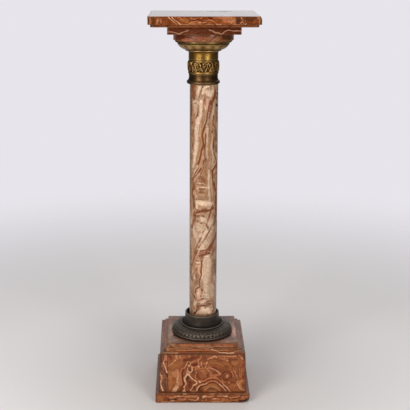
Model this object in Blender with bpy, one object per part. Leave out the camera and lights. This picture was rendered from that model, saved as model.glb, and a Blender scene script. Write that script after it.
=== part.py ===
"""A square-topped onyx pedestal: stepped square plinth, dark bronze ring, round shaft, brass capital
and stepped square top, each piece a closed solid, in metres with +Z up and the floor at z = 0."""
import math

import bmesh
import bpy
from mathutils import Vector

MM = 0.001
GAP = 0.3 * MM                      # joint left between two pieces that touch

# Driving dimensions: heights of the joints above the floor
TOTAL_HEIGHT = 1070.0 * MM
FOOT_TOP = 28.8 * MM
DIE_TOP = 143.3 * MM
CAP_TOP = 168.3 * MM
RING_RIM = 224.6 * MM               # upper rim of the dark bronze ring
SHAFT_SEAT = 208.6 * MM             # floor of the socket that the shaft stands in
COLLAR_FOOT = 883.8 * MM            # underside of the brass collar
LEAF_FOOT = 912.0 * MM              # underside of the leaf band
NECK_FOOT = 947.5 * MM              # underside of the plain neck
DISC_FOOT = 1000.8 * MM
UNDER_SLAB_FOOT = 1021.0 * MM
TOP_SLAB_FOOT = 1043.5 * MM

# Driving dimensions: half widths of the square pieces
FOOT_HALF = 132.8 * MM
DIE_HALF_BOTTOM = 123.4 * MM
DIE_HALF_TOP = 119.6 * MM
CAP_HALF_BOTTOM = 119.0 * MM
CAP_HALF_MIDDLE = 109.0 * MM
CAP_HALF_TOP = 99.4 * MM
UNDER_SLAB_HALF = 95.8 * MM
TOP_SLAB_HALF = 144.1 * MM
TOP_SLAB_STEP = 6.4 * MM            # how far the step below the slab's edge is set in

# Driving dimensions: radii of the turned pieces
SHAFT_RADIUS = 38.9 * MM
SHAFT_SHIFT = 2.1 * MM              # the shaft stands this far right of the other pieces' axis
SOCKET_RADIUS = 43.6 * MM
RING_RADIUS = 87.5 * MM
RING_BEAD_RADIUS = 61.4 * MM
RING_NECK_RADIUS = 48.7 * MM
COLLAR_RADIUS = 39.1 * MM
ASTRAGAL_RADIUS = 45.1 * MM
LEAF_RADIUS = 41.4 * MM
NECK_RADIUS = 40.0 * MM
BOWL_RADIUS = 77.2 * MM
DISC_RADIUS = 81.0 * MM

# Small sizes
CORNER_CUT = 6.2 * MM               # flat cut on the upright corners of the top slab
SMALL_CORNER_CUT = 2.0 * MM         # the same on the other square pieces
EASE = 1.0 * MM                     # rounding of a polished edge
SIDE_SLAB_THICKNESS = 25.7 * MM     # onyx slab at the left of the die, whose joint shows in front
CHIP_WIDTH = 16.0 * MM              # broken lower corner of the foot, front right
CHIP_HEIGHT = 15.0 * MM

# Carving
LEAF_COUNT = 10                     # upright leaves round the capital
LEAF_RELIEF = 2.4 * MM
PALMETTE_COUNT = 16                 # flat leaves round the shoulder of the dark ring
PALMETTE_RELIEF = 1.5 * MM

ONYX_BROWN = (0.33, 0.12, 0.055, 1.0)
ONYX_DARK = (0.20, 0.085, 0.050, 1.0)
ONYX_PINK = (0.38, 0.17, 0.11, 1.0)
ONYX_CREAM = (0.58, 0.43, 0.31, 1.0)
BRASS = (0.55, 0.38, 0.13, 1.0)
BRASS_DULL = (0.20, 0.15, 0.08, 1.0)
BRONZE = (0.035, 0.032, 0.026, 1.0)


def clear_scene():
    for thing in list(bpy.data.objects):
        bpy.data.objects.remove(thing, do_unlink=True)


def make_material(name, colour, roughness, metallic):
    material = bpy.data.materials.new(name)
    material.use_nodes = True
    shader = material.node_tree.nodes["Principled BSDF"]
    shader.inputs["Base Color"].default_value = colour
    shader.inputs["Roughness"].default_value = roughness
    shader.inputs["Metallic"].default_value = metallic
    return material


def add_object(name, bm, material, smooth_angle=None):
    """Point the faces outwards and put the finished mesh in the scene."""
    bmesh.ops.recalc_face_normals(bm, faces=bm.faces)
    mesh = bpy.data.meshes.new(name)
    bm.to_mesh(mesh)
    bm.free()
    mesh.materials.append(material)
    if smooth_angle is not None:
        mesh.shade_smooth()
        mesh.set_sharp_from_angle(angle=smooth_angle)
    piece = bpy.data.objects.new(name, mesh)
    bpy.context.scene.collection.objects.link(piece)
    return piece


def arc(centre_r, centre_z, radius, start_deg, end_deg, steps):
    """Points of an arc in the (radius, height) plane, angles measured from +r towards +z."""
    points = []
    for step in range(steps + 1):
        angle = math.radians(start_deg + (end_deg - start_deg) * step / steps)
        points.append((centre_r + radius * math.cos(angle), centre_z + radius * math.sin(angle)))
    return points


def bow(first, last, bulge, steps):
    """Points of a circular arc from first to last that stands out from its chord by bulge."""
    run_r, run_z = last[0] - first[0], last[1] - first[1]
    chord = math.hypot(run_r, run_z)
    radius = (chord ** 2 / 4.0 + bulge ** 2) / (2.0 * bulge)
    half_angle = math.asin(chord / 2.0 / radius)
    out_r, out_z = run_z / chord, -run_r / chord
    centre_r = (first[0] + last[0]) / 2.0 - out_r * (radius - bulge)
    centre_z = (first[1] + last[1]) / 2.0 - out_z * (radius - bulge)
    middle = math.degrees(math.atan2(out_z, out_r))
    reach = math.degrees(half_angle)
    return arc(centre_r, centre_z, radius, middle - reach, middle + reach, steps)


def ease(first, last, steps, hollow):
    """Points of a quarter curve from first to last: hollow for a cavetto, full for an ovolo."""
    points = []
    for step in range(steps + 1):
        angle = math.radians(90.0 * step / steps)
        if hollow:
            across, along = 1.0 - math.cos(angle), math.sin(angle)
        else:
            across, along = math.sin(angle), 1.0 - math.cos(angle)
        points.append((first[0] + (last[0] - first[0]) * across,
                       first[1] + (last[1] - first[1]) * along))
    return points


def loft(bm, rings):
    """Join rings of vertices in order and close both ends with flat faces."""
    count = len(rings[0])
    for lower, upper in zip(rings, rings[1:]):
        for index in range(count):
            after = (index + 1) % count
            bm.faces.new((lower[index], lower[after], upper[after], upper[index]))
    bm.faces.new(list(reversed(rings[0])))
    bm.faces.new(rings[-1])


def square_ring(bm, half, z, cut):
    """Eight points of a square with its corners cut off."""
    inner = half - cut
    outline = ((inner, -half), (half, -inner), (half, inner), (inner, half),
               (-inner, half), (-half, inner), (-half, -inner), (-inner, -half))
    return [bm.verts.new((x, y, z)) for x, y in outline]


def square_piece(name, profile, cut, material):
    """A square moulding whose profile is (half width, height) from its foot up."""
    bm = bmesh.new()
    loft(bm, [square_ring(bm, half, z, cut) for half, z in profile])
    return add_object(name, bm, material)


def turned_piece(name, profile, sides, material, relief=None, shift=0.0):
    """A solid of revolution from (radius, height) points, foot up, with optional carved relief.

    relief(angle, height) is added to the radius, so the carving stands out from the turned form.
    shift moves the axis to the right."""
    bm = bmesh.new()
    rings = []
    for radius, z in profile:
        ring = []
        for side in range(sides):
            angle = 2.0 * math.pi * side / sides
            r = radius + (relief(angle, z) if relief else 0.0)
            ring.append(bm.verts.new((shift + r * math.cos(angle), r * math.sin(angle), z)))
        rings.append(ring)
    loft(bm, rings)
    return add_object(name, bm, material, math.radians(35.0))


def chip_corner(bm, corner, reaches):
    """Break a corner off: cut by the plane through three points, one along each edge."""
    points = [Vector(corner) + Vector(reach) for reach in reaches]
    normal = (points[1] - points[0]).cross(points[2] - points[0]).normalized()
    if normal.dot(Vector(corner) - points[0]) < 0.0:
        normal.negate()
    geometry = list(bm.verts) + list(bm.edges) + list(bm.faces)
    cut = bmesh.ops.bisect_plane(bm, geom=geometry, dist=1.0e-6, plane_co=points[0],
                                 plane_no=normal, clear_outer=True)
    edges = [item for item in cut["geom_cut"] if isinstance(item, bmesh.types.BMEdge)]
    bmesh.ops.contextual_create(bm, geom=edges)


def plinth_foot(material):
    """Square base slab, wider than the die, with a narrow groove round it and one broken corner."""
    bm = bmesh.new()
    half, groove = FOOT_HALF, FOOT_HALF - 1.2 * MM
    profile = [(half - EASE, 0.0), (half, EASE), (half, 20.4 * MM), (groove, 21.6 * MM),
               (groove, 22.6 * MM), (half, 23.6 * MM), (half, FOOT_TOP - EASE),
               (half - EASE, FOOT_TOP)]
    loft(bm, [square_ring(bm, width, z, SMALL_CORNER_CUT) for width, z in profile])
    corner = (FOOT_HALF, -FOOT_HALF, 0.0)
    chip_corner(bm, corner, ((-CHIP_WIDTH, 0.0, 0.0), (0.0, 0.0, CHIP_HEIGHT),
                             (0.0, CHIP_WIDTH, 0.0)))
    return add_object("plinth_foot", bm, material)


def plinth_die(material, side_material):
    """Battered square block, with the slab at its left a piece of its own."""
    low, high = FOOT_TOP + GAP, DIE_TOP - GAP
    joint = -DIE_HALF_BOTTOM + SIDE_SLAB_THICKNESS
    levels = ((DIE_HALF_BOTTOM, low), (DIE_HALF_TOP, high - EASE), (DIE_HALF_TOP - EASE, high))

    def cut_at_joint(name, keep_right, piece_material):
        bm = bmesh.new()
        loft(bm, [square_ring(bm, half, z, SMALL_CORNER_CUT) for half, z in levels])
        side = 1.0 if keep_right else -1.0
        geometry = list(bm.verts) + list(bm.edges) + list(bm.faces)
        cut = bmesh.ops.bisect_plane(bm, geom=geometry, dist=1.0e-6,
                                     plane_co=(joint + side * GAP / 2.0, 0.0, 0.0),
                                     plane_no=(-side, 0.0, 0.0), clear_outer=True)
        edges = [item for item in cut["geom_cut"] if isinstance(item, bmesh.types.BMEdge)]
        bmesh.ops.contextual_create(bm, geom=edges)
        return add_object(name, bm, piece_material)

    cut_at_joint("plinth_die", True, material)
    cut_at_joint("plinth_side_slab", False, side_material)


def plinth_cap(material):
    """Stepped moulding that carries the dark ring: two set-offs, each with a small hollow."""
    low, high = DIE_TOP, CAP_TOP
    lower_set_off = ease((CAP_HALF_BOTTOM - 0.6 * MM, 147.9 * MM),
                         (CAP_HALF_MIDDLE + 0.6 * MM, 149.6 * MM), 2, False)
    upper_set_off = ease((CAP_HALF_MIDDLE - 0.8 * MM, 156.2 * MM),
                         (CAP_HALF_TOP + 0.4 * MM, 158.2 * MM), 2, False)
    profile = [(CAP_HALF_BOTTOM - 0.5 * MM, low), (CAP_HALF_BOTTOM, low + 0.5 * MM),
               (CAP_HALF_BOTTOM, 147.3 * MM)]
    profile += lower_set_off
    profile += [(CAP_HALF_MIDDLE, 155.4 * MM)]
    profile += upper_set_off
    profile += [(CAP_HALF_TOP, high - EASE), (CAP_HALF_TOP - EASE, high)]
    return square_piece("plinth_cap", profile, SMALL_CORNER_CUT, material)


def palmettes(angle, z):
    """Low round-ended leaves on the ring's shoulder, proud in the middle of each division."""
    low, high = 184.0 * MM, 191.6 * MM
    if z < low or z > high:
        return 0.0
    along = math.sin(math.pi * (z - low) / (high - low))
    across = abs(math.cos(0.5 * PALMETTE_COUNT * angle))
    return PALMETTE_RELIEF * along * (across - 0.35)


def base_ring(material):
    """Dark bronze casting: rounded rim, carved shoulder, bead, hollow neck and shallow socket."""
    foot = CAP_TOP + GAP
    rim = [(RING_RADIUS - 1.0 * MM, foot), (RING_RADIUS, foot + 1.2 * MM),
           (RING_RADIUS, 173.2 * MM), (86.6 * MM, 177.4 * MM), (84.2 * MM, 181.0 * MM)]
    shoulder = [(81.2 * MM, 183.8 * MM), (74.5 * MM, 186.6 * MM), (67.8 * MM, 189.0 * MM),
                (RING_BEAD_RADIUS + 0.8 * MM, 190.8 * MM)]
    bead = arc(RING_BEAD_RADIUS - 1.6 * MM, 192.6 * MM, 1.7 * MM, -20.0, 100.0, 2)
    neck = ease((57.6 * MM, 194.4 * MM), (RING_NECK_RADIUS + 0.2 * MM, 213.0 * MM), 4, False)
    lip = [(RING_NECK_RADIUS, 222.4 * MM), (47.8 * MM, RING_RIM), (44.4 * MM, RING_RIM),
           (SOCKET_RADIUS, RING_RIM - 0.8 * MM), (SOCKET_RADIUS, SHAFT_SEAT)]
    return turned_piece("base_ring", rim + shoulder + bead + neck + lip, 64, material, palmettes)


def shaft(material):
    """Plain round onyx column that stands loosely in the ring's socket, a little off centre."""
    low, high = SHAFT_SEAT + GAP, COLLAR_FOOT - GAP
    profile = [(SHAFT_RADIUS - EASE, low), (SHAFT_RADIUS, low + EASE), (SHAFT_RADIUS, high - EASE),
               (SHAFT_RADIUS - EASE, high)]
    return turned_piece("shaft", profile, 64, material, shift=SHAFT_SHIFT)


def capital_collar(material):
    """Dull brass collar: half-round astragal below a plain band that flares down to it."""
    roll = 4.9 * MM
    roll_z = COLLAR_FOOT + 5.2 * MM
    profile = [(ASTRAGAL_RADIUS - roll, COLLAR_FOOT)]
    profile += arc(ASTRAGAL_RADIUS - roll, roll_z, roll, -75.0, 75.0, 5)
    profile += ease((41.4 * MM, 894.6 * MM), (COLLAR_RADIUS, 901.0 * MM), 2, False)
    profile += [(COLLAR_RADIUS, 908.0 * MM), (39.6 * MM, LEAF_FOOT - GAP)]
    return turned_piece("capital_collar", profile, 48, material)


def upright_leaves(angle, z):
    """Upright leaves: each is broad at its foot, pointed at its top, and curls out near the tip."""
    low, high = 918.0 * MM, 944.6 * MM
    if z <= low or z >= high:
        return 0.0
    height = (z - low) / (high - low)
    across = abs((angle / (2.0 * math.pi) * LEAF_COUNT) % 1.0 - 0.5) * 2.0
    width = 0.86 * math.sqrt(max(0.0, 1.0 - height ** 2.4))
    body = max(0.0, 1.0 - across / max(width, 0.05))
    curl = math.sin(math.pi * min(1.0, height * 0.95 + 0.08))
    return LEAF_RELIEF * curl * min(1.0, 2.2 * body)


def capital_leaf_band(material):
    """Brass band with a carved frieze of upright leaves between two fillets."""
    profile = [(40.4 * MM, LEAF_FOOT), (41.0 * MM, LEAF_FOOT + 1.2 * MM), (41.0 * MM, 916.6 * MM),
               (40.6 * MM, 918.0 * MM), (LEAF_RADIUS - 0.6 * MM, 921.4 * MM),
               (LEAF_RADIUS, 926.5 * MM), (LEAF_RADIUS, 931.5 * MM), (LEAF_RADIUS, 936.5 * MM),
               (LEAF_RADIUS - 0.4 * MM, 941.0 * MM), (40.8 * MM, 944.8 * MM),
               (40.8 * MM, NECK_FOOT - GAP)]
    return turned_piece("capital_leaf_band", profile, 90, material, upright_leaves)


def capital_bowl(material):
    """Plain brass neck with a bead, a full round bowl above it and a rim under the disc."""
    profile = [(NECK_RADIUS, NECK_FOOT), (NECK_RADIUS, 962.4 * MM), (40.5 * MM, 966.8 * MM),
               (42.2 * MM, 969.0 * MM), (45.0 * MM, 969.6 * MM)]
    profile += arc(47.0 * MM, 971.9 * MM, 1.7 * MM, -50.0, 60.0, 3)
    profile += bow((50.0 * MM, 974.0 * MM), (67.2 * MM, 988.0 * MM), 2.6 * MM, 5)
    profile += [(67.4 * MM, 989.4 * MM), (72.6 * MM, 992.2 * MM), (74.6 * MM, 993.6 * MM),
                (75.2 * MM, 996.0 * MM), (BOWL_RADIUS - 0.5 * MM, 998.2 * MM),
                (BOWL_RADIUS, 999.4 * MM), (BOWL_RADIUS - 0.8 * MM, DISC_FOOT - GAP)]
    return turned_piece("capital_bowl", profile, 56, material)


def abacus_disc(material):
    """Round onyx disc between the brass bowl and the square slabs."""
    low, high = DISC_FOOT, UNDER_SLAB_FOOT - GAP
    profile = [(DISC_RADIUS - EASE, low), (DISC_RADIUS, low + EASE), (DISC_RADIUS, high - EASE),
               (DISC_RADIUS - EASE, high)]
    return turned_piece("abacus_disc", profile, 64, material)


def abacus_slab(material):
    """Smaller square slab under the top."""
    low, high = UNDER_SLAB_FOOT, TOP_SLAB_FOOT - GAP
    half = UNDER_SLAB_HALF
    profile = [(half - EASE, low), (half, low + EASE), (half, high - EASE), (half - EASE, high)]
    return square_piece("abacus_slab", profile, SMALL_CORNER_CUT, material)


def top_slab(material):
    """Large square top with a square step below its edge and flats on its upright corners."""
    low, high = TOP_SLAB_FOOT, TOTAL_HEIGHT
    half, step = TOP_SLAB_HALF, TOP_SLAB_HALF - TOP_SLAB_STEP
    profile = [(step - EASE, low), (step, low + EASE), (step, low + 4.9 * MM),
               (step + 0.6 * MM, low + 5.5 * MM), (half - EASE, low + 5.7 * MM),
               (half, low + 6.7 * MM), (half, high - 1.8 * MM), (half - 0.6 * MM, high - 0.5 * MM),
               (half - 2.0 * MM, high)]
    return square_piece("top_slab", profile, CORNER_CUT, material)


def build():
    clear_scene()
    brown = make_material("brown_onyx", ONYX_BROWN, 0.22, 0.0)
    side = make_material("side_onyx", ONYX_PINK, 0.22, 0.0)
    dark = make_material("dark_onyx", ONYX_DARK, 0.24, 0.0)
    pink = make_material("pink_onyx", ONYX_PINK, 0.24, 0.0)
    cream = make_material("cream_onyx", ONYX_CREAM, 0.20, 0.0)
    brass = make_material("brass", BRASS, 0.28, 1.0)
    dull = make_material("dull_brass", BRASS_DULL, 0.38, 1.0)
    bronze = make_material("dark_bronze", BRONZE, 0.42, 1.0)
    plinth_foot(brown)
    plinth_die(brown, side)
    plinth_cap(brown)
    base_ring(bronze)
    shaft(cream)
    capital_collar(dull)
    capital_leaf_band(brass)
    capital_bowl(brass)
    abacus_disc(pink)
    abacus_slab(dark)
    top_slab(brown)


build()
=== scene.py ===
import math

import bpy
import numpy as np
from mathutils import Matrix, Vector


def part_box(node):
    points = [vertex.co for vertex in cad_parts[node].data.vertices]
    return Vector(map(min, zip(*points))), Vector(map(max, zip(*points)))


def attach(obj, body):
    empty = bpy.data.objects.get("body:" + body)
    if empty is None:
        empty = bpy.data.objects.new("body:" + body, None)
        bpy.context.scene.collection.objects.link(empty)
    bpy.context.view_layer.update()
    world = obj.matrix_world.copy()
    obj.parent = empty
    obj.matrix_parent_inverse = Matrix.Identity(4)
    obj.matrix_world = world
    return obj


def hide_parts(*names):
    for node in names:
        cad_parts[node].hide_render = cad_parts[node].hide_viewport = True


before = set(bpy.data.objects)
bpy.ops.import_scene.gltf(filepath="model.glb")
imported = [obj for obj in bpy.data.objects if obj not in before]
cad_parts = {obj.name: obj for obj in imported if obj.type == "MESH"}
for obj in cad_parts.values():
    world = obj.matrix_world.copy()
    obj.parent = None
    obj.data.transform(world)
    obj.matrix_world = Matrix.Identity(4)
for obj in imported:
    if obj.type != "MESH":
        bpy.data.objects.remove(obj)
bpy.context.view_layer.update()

# An onyx pedestal. Every piece is a fine skin around its CAD solid, worked out in millimetres. The veins
# are paths in the stone: each skin carries its nearness to them, and the materials turn that into colour.

MM = 0.001
X, Y, Z = 0, 1, 2


def tone(red, green, blue):
    """A colour as a paint chart gives it, 0 to 255, made linear for the shaders."""
    parts = np.array([red, green, blue]) / 255.0
    linear = np.where(parts <= 0.04045, parts / 12.92, ((parts + 0.055) / 1.055) ** 2.4)
    return (*[float(part) for part in linear], 1.0)


def extent(node, axis=X):
    """Foot, top and half width of a CAD piece in millimetres, with the half width along that axis."""
    low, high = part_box(node)
    return low[Z] / MM, high[Z] / MM, high[axis] / MM


# Noise

def lattice_noise(points, cell, seed):
    """Smooth noise from -1 to 1: random values on a lattice of that cell size, blended by 3t^2 - 2t^3."""
    side = 32
    lattice = np.random.default_rng(seed).uniform(-1.0, 1.0, (side, side, side))
    scaled = points / cell
    base = np.floor(scaled).astype(int)
    part = scaled - base
    part = part * part * (3.0 - 2.0 * part)
    total = np.zeros(len(points))
    for corner in np.ndindex(2, 2, 2):
        share = np.prod(np.where(corner, part, 1.0 - part), axis=1)
        where = (base + corner) % side
        total += share * lattice[where[:, 0], where[:, 1], where[:, 2]]
    return total


def cloud(points, cell, seed, octaves=3):
    """Lattice noise in octaves, each half the size and 0.55 of the height of the one before."""
    total, height = np.zeros(len(points)), 1.0
    for octave in range(octaves):
        total += height * lattice_noise(points, cell / 2.0 ** octave, seed + octave)
        height *= 0.55
    return total


def ramp(values, low, high):
    """0 below low, 1 above high, and 3t^2 - 2t^3 between them."""
    part = np.clip((values - low) / (high - low), 0.0, 1.0)
    return part * part * (3.0 - 2.0 * part)


# Profiles: lists of (half width or radius, height, rounding) from the foot up

def soft_profile(corners, spacing, inner_steps):
    """Round each corner by a quadratic curve between the points `rounding` away from it, step the rest no
    wider than spacing, and add rings that shrink towards the axis under and over it."""
    points = [np.array(corners[0][:2], float)]
    for before, here, after in zip(corners, corners[1:], corners[2:]):
        first, corner, last = (np.array(item[:2], float) for item in (before, here, after))
        if here[2] <= 0.0:
            points.append(corner)
            continue
        into, out_of = first - corner, last - corner
        start = corner + into * min(0.49, here[2] / np.linalg.norm(into))
        end = corner + out_of * min(0.49, here[2] / np.linalg.norm(out_of))
        for t in np.linspace(0.0, 1.0, 5):
            points.append((1.0 - t) ** 2 * start + 2.0 * t * (1.0 - t) * corner + t ** 2 * end)
    points.append(np.array(corners[-1][:2], float))
    stepped = [points[0]]
    for first, last in zip(points, points[1:]):
        count = max(1, math.ceil(np.linalg.norm(last - first) / spacing))
        stepped += [first + (last - first) * number / count for number in range(1, count + 1)]
    shares = np.linspace(0.0, 1.0, inner_steps + 2)[1:-1, None]
    low, high = stepped[0], stepped[-1]
    under = shares * (low[0], 0.0) + (0.0, low[1])
    over = shares[::-1] * (high[0], 0.0) + (0.0, high[1])
    return np.concatenate([under, stepped, over])


def arc(centre_r, centre_z, radius, start_deg, end_deg, steps):
    """Corners along an arc, angles from +r towards +z, with no further rounding."""
    angles = np.radians(np.linspace(start_deg, end_deg, steps + 1))
    return [(centre_r + radius * math.cos(a), centre_z + radius * math.sin(a), 0.0) for a in angles]


def bow(first, last, bulge, steps):
    """Corners along a circular arc from first to last that stands out from its chord by bulge."""
    run_r, run_z = last[0] - first[0], last[1] - first[1]
    chord = math.hypot(run_r, run_z)
    radius = (chord ** 2 / 4.0 + bulge ** 2) / (2.0 * bulge)
    out_r, out_z = run_z / chord, -run_r / chord
    centre_r = (first[0] + last[0]) / 2.0 - out_r * (radius - bulge)
    centre_z = (first[1] + last[1]) / 2.0 - out_z * (radius - bulge)
    middle = math.degrees(math.atan2(out_z, out_r))
    reach = math.degrees(math.asin(chord / 2.0 / radius))
    return arc(centre_r, centre_z, radius, middle - reach, middle + reach, steps)


def curve(first, last, steps):
    """Corners of a quarter curve that leaves first level and reaches last upright."""
    turns = np.radians(np.linspace(0.0, 90.0, steps + 1))
    return [(first[0] + (last[0] - first[0]) * math.sin(turn),
             first[1] + (last[1] - first[1]) * (1.0 - math.cos(turn)), 0.0) for turn in turns]


# Grids: rows from the foot up, columns anticlockwise seen from above

PLAIN_SIDE = 1.5             # how much wider the mesh's columns are on the hidden sides


def square_grid(profile, spacing, corner, canted=False, left=None, right=None):
    """A square moulding. Column by column the outline is a corner centre plus a direction: between two
    corners the centre slides, and round a corner the direction turns, or crosses straight if canted.
    The three sides that the photo doesn't show have wider columns. left and right cut the square off at
    those x."""
    widest = profile[:, 0].max()
    turn = np.linspace(0.0, 1.0, 7)[:-1]
    side_normals = [(0, -1), (1, 0), (0, 1), (-1, 0)]
    corner_signs = [(0, 0), (1, 0), (1, 1), (0, 1)]
    slide_x, slide_y, lean_x, lean_y = [], [], [], []
    for side in range(4):
        normal, after = np.array(side_normals[side]), np.array(side_normals[(side + 1) % 4])
        start, end = np.array(corner_signs[side]), np.array(corner_signs[(side + 1) % 4])
        column = spacing if side == 0 else PLAIN_SIDE * spacing
        along = np.linspace(0.0, 1.0, math.ceil(2.0 * widest / column), endpoint=False)
        slide = start + np.outer(along, end - start)
        lean = np.tile(normal, (len(along), 1))
        if canted:
            rounded = np.outer(1.0 - turn, normal) + np.outer(turn, after)
        else:
            angle = turn * math.pi / 2.0
            rounded = np.outer(np.cos(angle), normal) + np.outer(np.sin(angle), after)
        slide_x += [slide[:, 0], np.full(len(turn), end[0])]
        slide_y += [slide[:, 1], np.full(len(turn), end[1])]
        lean_x += [lean[:, 0], rounded[:, 0]]
        lean_y += [lean[:, 1], rounded[:, 1]]
    slide_x, slide_y, lean_x, lean_y = (np.concatenate(item) for item in (slide_x, slide_y, lean_x, lean_y))
    half, height = profile[:, :1], profile[:, 1:]
    round_off = np.minimum(corner, 0.5 * half)
    low_x = -half if left is None else np.maximum(-half, left)
    high_x = half if right is None else np.minimum(half, right)
    if left is not None or right is not None:      # the rings on its faces shrink to its own middle
        share = np.minimum(1.0, half / half.max())
        middle = (low_x[half.argmax()] + high_x[half.argmax()]) / 2.0
        shrink = np.where(share < 0.9, share, 1.0)
        low_x = middle + (np.where(shrink < 1.0, low_x[half.argmax()], low_x) - middle) * shrink
        high_x = middle + (np.where(shrink < 1.0, high_x[half.argmax()], high_x) - middle) * shrink
        round_off = np.minimum(round_off, 0.25 * (high_x - low_x))
    x = low_x + round_off + slide_x * (high_x - low_x - 2.0 * round_off) + round_off * lean_x
    y = -half + round_off + slide_y * 2.0 * (half - round_off) + round_off * lean_y
    return np.stack([x, y, np.broadcast_to(height, x.shape)], axis=-1)


def round_grid(profile, columns, shift=0.0, relief=None):
    """A turned piece: radius times the cosine and sine of the angle, plus a relief in millimetres."""
    angle = np.radians(np.linspace(-90.0, 270.0, columns, endpoint=False))[None, :]
    radius = np.repeat(profile[:, :1], columns, axis=1)
    height = np.repeat(profile[:, 1:], columns, axis=1)
    if relief is not None:
        radius = radius + relief(np.broadcast_to(angle, radius.shape), height)
    return np.stack([shift + radius * np.cos(angle), radius * np.sin(angle), height], axis=-1)


def round_points(angle, radius, height):
    """Angles and heights on a turned piece as a plain list of points."""
    return np.stack([radius * np.cos(angle), radius * np.sin(angle), height], axis=-1).reshape(-1, 3)


def outward(grid):
    """Unit normals: the cross product of the step round the piece and the step up it."""
    across = np.roll(grid, -1, axis=1) - np.roll(grid, 1, axis=1)
    upward = np.gradient(grid, axis=0)
    normal = np.cross(across, upward)
    return normal / np.maximum(np.linalg.norm(normal, axis=-1, keepdims=True), 1.0e-9)


def hollow(grid, reach):
    """How far each point lies below the mean of its neighbours, reach rows and columns away, along its
    normal and in millimetres: hollows are positive, arrises negative."""
    rows = len(grid)
    above = grid[np.minimum(np.arange(rows) + reach, rows - 1)]
    below = grid[np.maximum(np.arange(rows) - reach, 0)]
    around = (np.roll(grid, reach, axis=1) + np.roll(grid, -reach, axis=1)) / 2.0
    offset = (above + below) / 2.0 - grid + around - grid
    return np.sum(offset * outward(grid), axis=-1)


def break_off(grid, point, normal, roughness, seed):
    """Flatten what stands beyond a plane onto it, left rough by noise: a chip or a broken corner."""
    normal = np.array(normal, float) / np.linalg.norm(normal)
    points = grid.reshape(-1, 3)
    beyond = (points - np.array(point, float)) @ normal + roughness * cloud(points, 5.0, seed)
    return (points - np.maximum(beyond, 0.0)[:, None] * normal).reshape(grid.shape)


def nick_arrises(grid, depth, seed):
    """Wear sharp edges by noise, so that no arris runs dead straight."""
    edge = ramp(-hollow(grid, 2), 0.12, 0.45)
    bite = np.maximum(0.0, cloud(grid.reshape(-1, 3), 7.0, seed) - 0.15).reshape(edge.shape)
    return grid - outward(grid) * (depth * edge * bite)[..., None]


# Veins

LIGHT_KINDS = ("cream", "pink", "tan")
DARK_KINDS = ("rust", "olive", "black")
BANDED_KINDS = ("cream", "pink", "rust")
SOFT_EDGE = {"cream": 0.5, "pink": 0.7, "tan": 1.0, "rust": 0.6, "olive": 0.9, "black": 0.45,
             "pale": 1.0}   # share of a vein's half width over which it fades
GROWTH_REACH = 26.0         # furthest distance over which the banding follows a vein


def kind_of_vein(kind):
    """A maker of veins of one kind: half width, points on a face, and how strongly it shows."""
    def vein(half, points, strength=1.0):
        return kind, half, points, strength
    return vein


cream, pink, tan = (kind_of_vein(kind) for kind in LIGHT_KINDS)
rust, olive, black = (kind_of_vein(kind) for kind in DARK_KINDS)
pale = kind_of_vein("pale")


def spline(path, steps=4):
    """A smooth line through the points: Catmull-Rom, with the ends repeated."""
    path = np.asarray(path, float)
    if len(path) == 1:
        return np.concatenate([path, path + 0.01])
    padded = np.concatenate([path[:1], path, path[-1:]])
    before, first, last, after = padded[:-3], padded[1:-2], padded[2:-1], padded[3:]
    t = np.linspace(0.0, 1.0, steps, endpoint=False)[None, :, None]
    before, first, last, after = (item[:, None, :] for item in (before, first, last, after))
    square = 2.0 * before - 5.0 * first + 4.0 * last - after
    cube = 3.0 * first - before - 3.0 * last + after
    line = 0.5 * (2.0 * first + (last - before) * t + square * t ** 2 + cube * t ** 3)
    return np.concatenate([line.reshape(-1, path.shape[1]), path[-1:]])


def distance_to(points, line):
    """Distance of each point from a line of straight runs."""
    nearest = np.full(len(points), np.inf)
    for first, last in zip(line, line[1:]):
        run = last - first
        part = np.clip((points - first) @ run / max(run @ run, 1.0e-9), 0.0, 1.0)
        nearest = np.minimum(nearest, np.linalg.norm(points - first - part[:, None] * run, axis=1))
    return nearest


def vein_fields(points, veins, stretch=1.0, wobble=1.0, seed=1):
    """Nearness to each kind of vein, 1 on its middle and 0 at its edge, and the distance to the edge of
    the nearest vein, along which the banding grows. Places are shifted a little by noise first. stretch is
    how much slower the distance grows upwards than sideways. A weak vein's nearness stops at the cap where
    the material's 3t^2 - 2t^3 reaches its strength."""
    warped = points.copy()
    for axis in range(3):
        sway = cloud(points, 9.0, seed + 10 * axis, 2) + 0.35 * cloud(points, 3.0, seed + 55 + axis, 1)
        warped[:, axis] += wobble * sway
    fields = {kind: np.full(len(points), -1.0) for kind in SOFT_EDGE}
    growth = np.full(len(points), GROWTH_REACH)
    squeeze = np.array([1.0, 1.0, 1.0 / stretch])
    margin = GROWTH_REACH * np.array([1.0, 1.0, stretch])
    for kind, half, path, strength in veins:
        line = spline(path)
        near = np.all((warped > line.min(axis=0) - margin) & (warped < line.max(axis=0) + margin), axis=1)
        if not near.any():
            continue
        local = warped[near]
        distance = distance_to(local, line)
        cap = SOFT_EDGE[kind] * (0.5 - math.sin(math.asin(1.0 - 2.0 * min(strength, 0.999)) / 3.0))
        nearness = np.minimum(1.0 - distance / half, cap if strength < 1.0 else 1.0)
        fields[kind][near] = np.maximum(fields[kind][near], np.maximum(nearness, -1.0))
        if kind in BANDED_KINDS and half < 5.0:
            if stretch != 1.0:
                distance = distance_to(local * squeeze, line * squeeze)
            growth[near] = np.minimum(growth[near], distance - half)
    return fields, growth


def flat_place(axis, fixed):
    """Places on a flat face where one axis is fixed; the two numbers given are those on the other axes."""
    def place(first, second):
        numbers = [first, second]
        numbers.insert(axis, np.full(len(first), fixed))
        return np.stack(numbers, axis=-1)
    return place


def round_place(radius, shift=0.0):
    """Places (distance round from the front, height) on a turned piece."""
    def place(around, height):
        angle = around / radius
        return np.stack([shift + radius * np.sin(angle), -radius * np.cos(angle), height], axis=-1)
    return place


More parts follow.
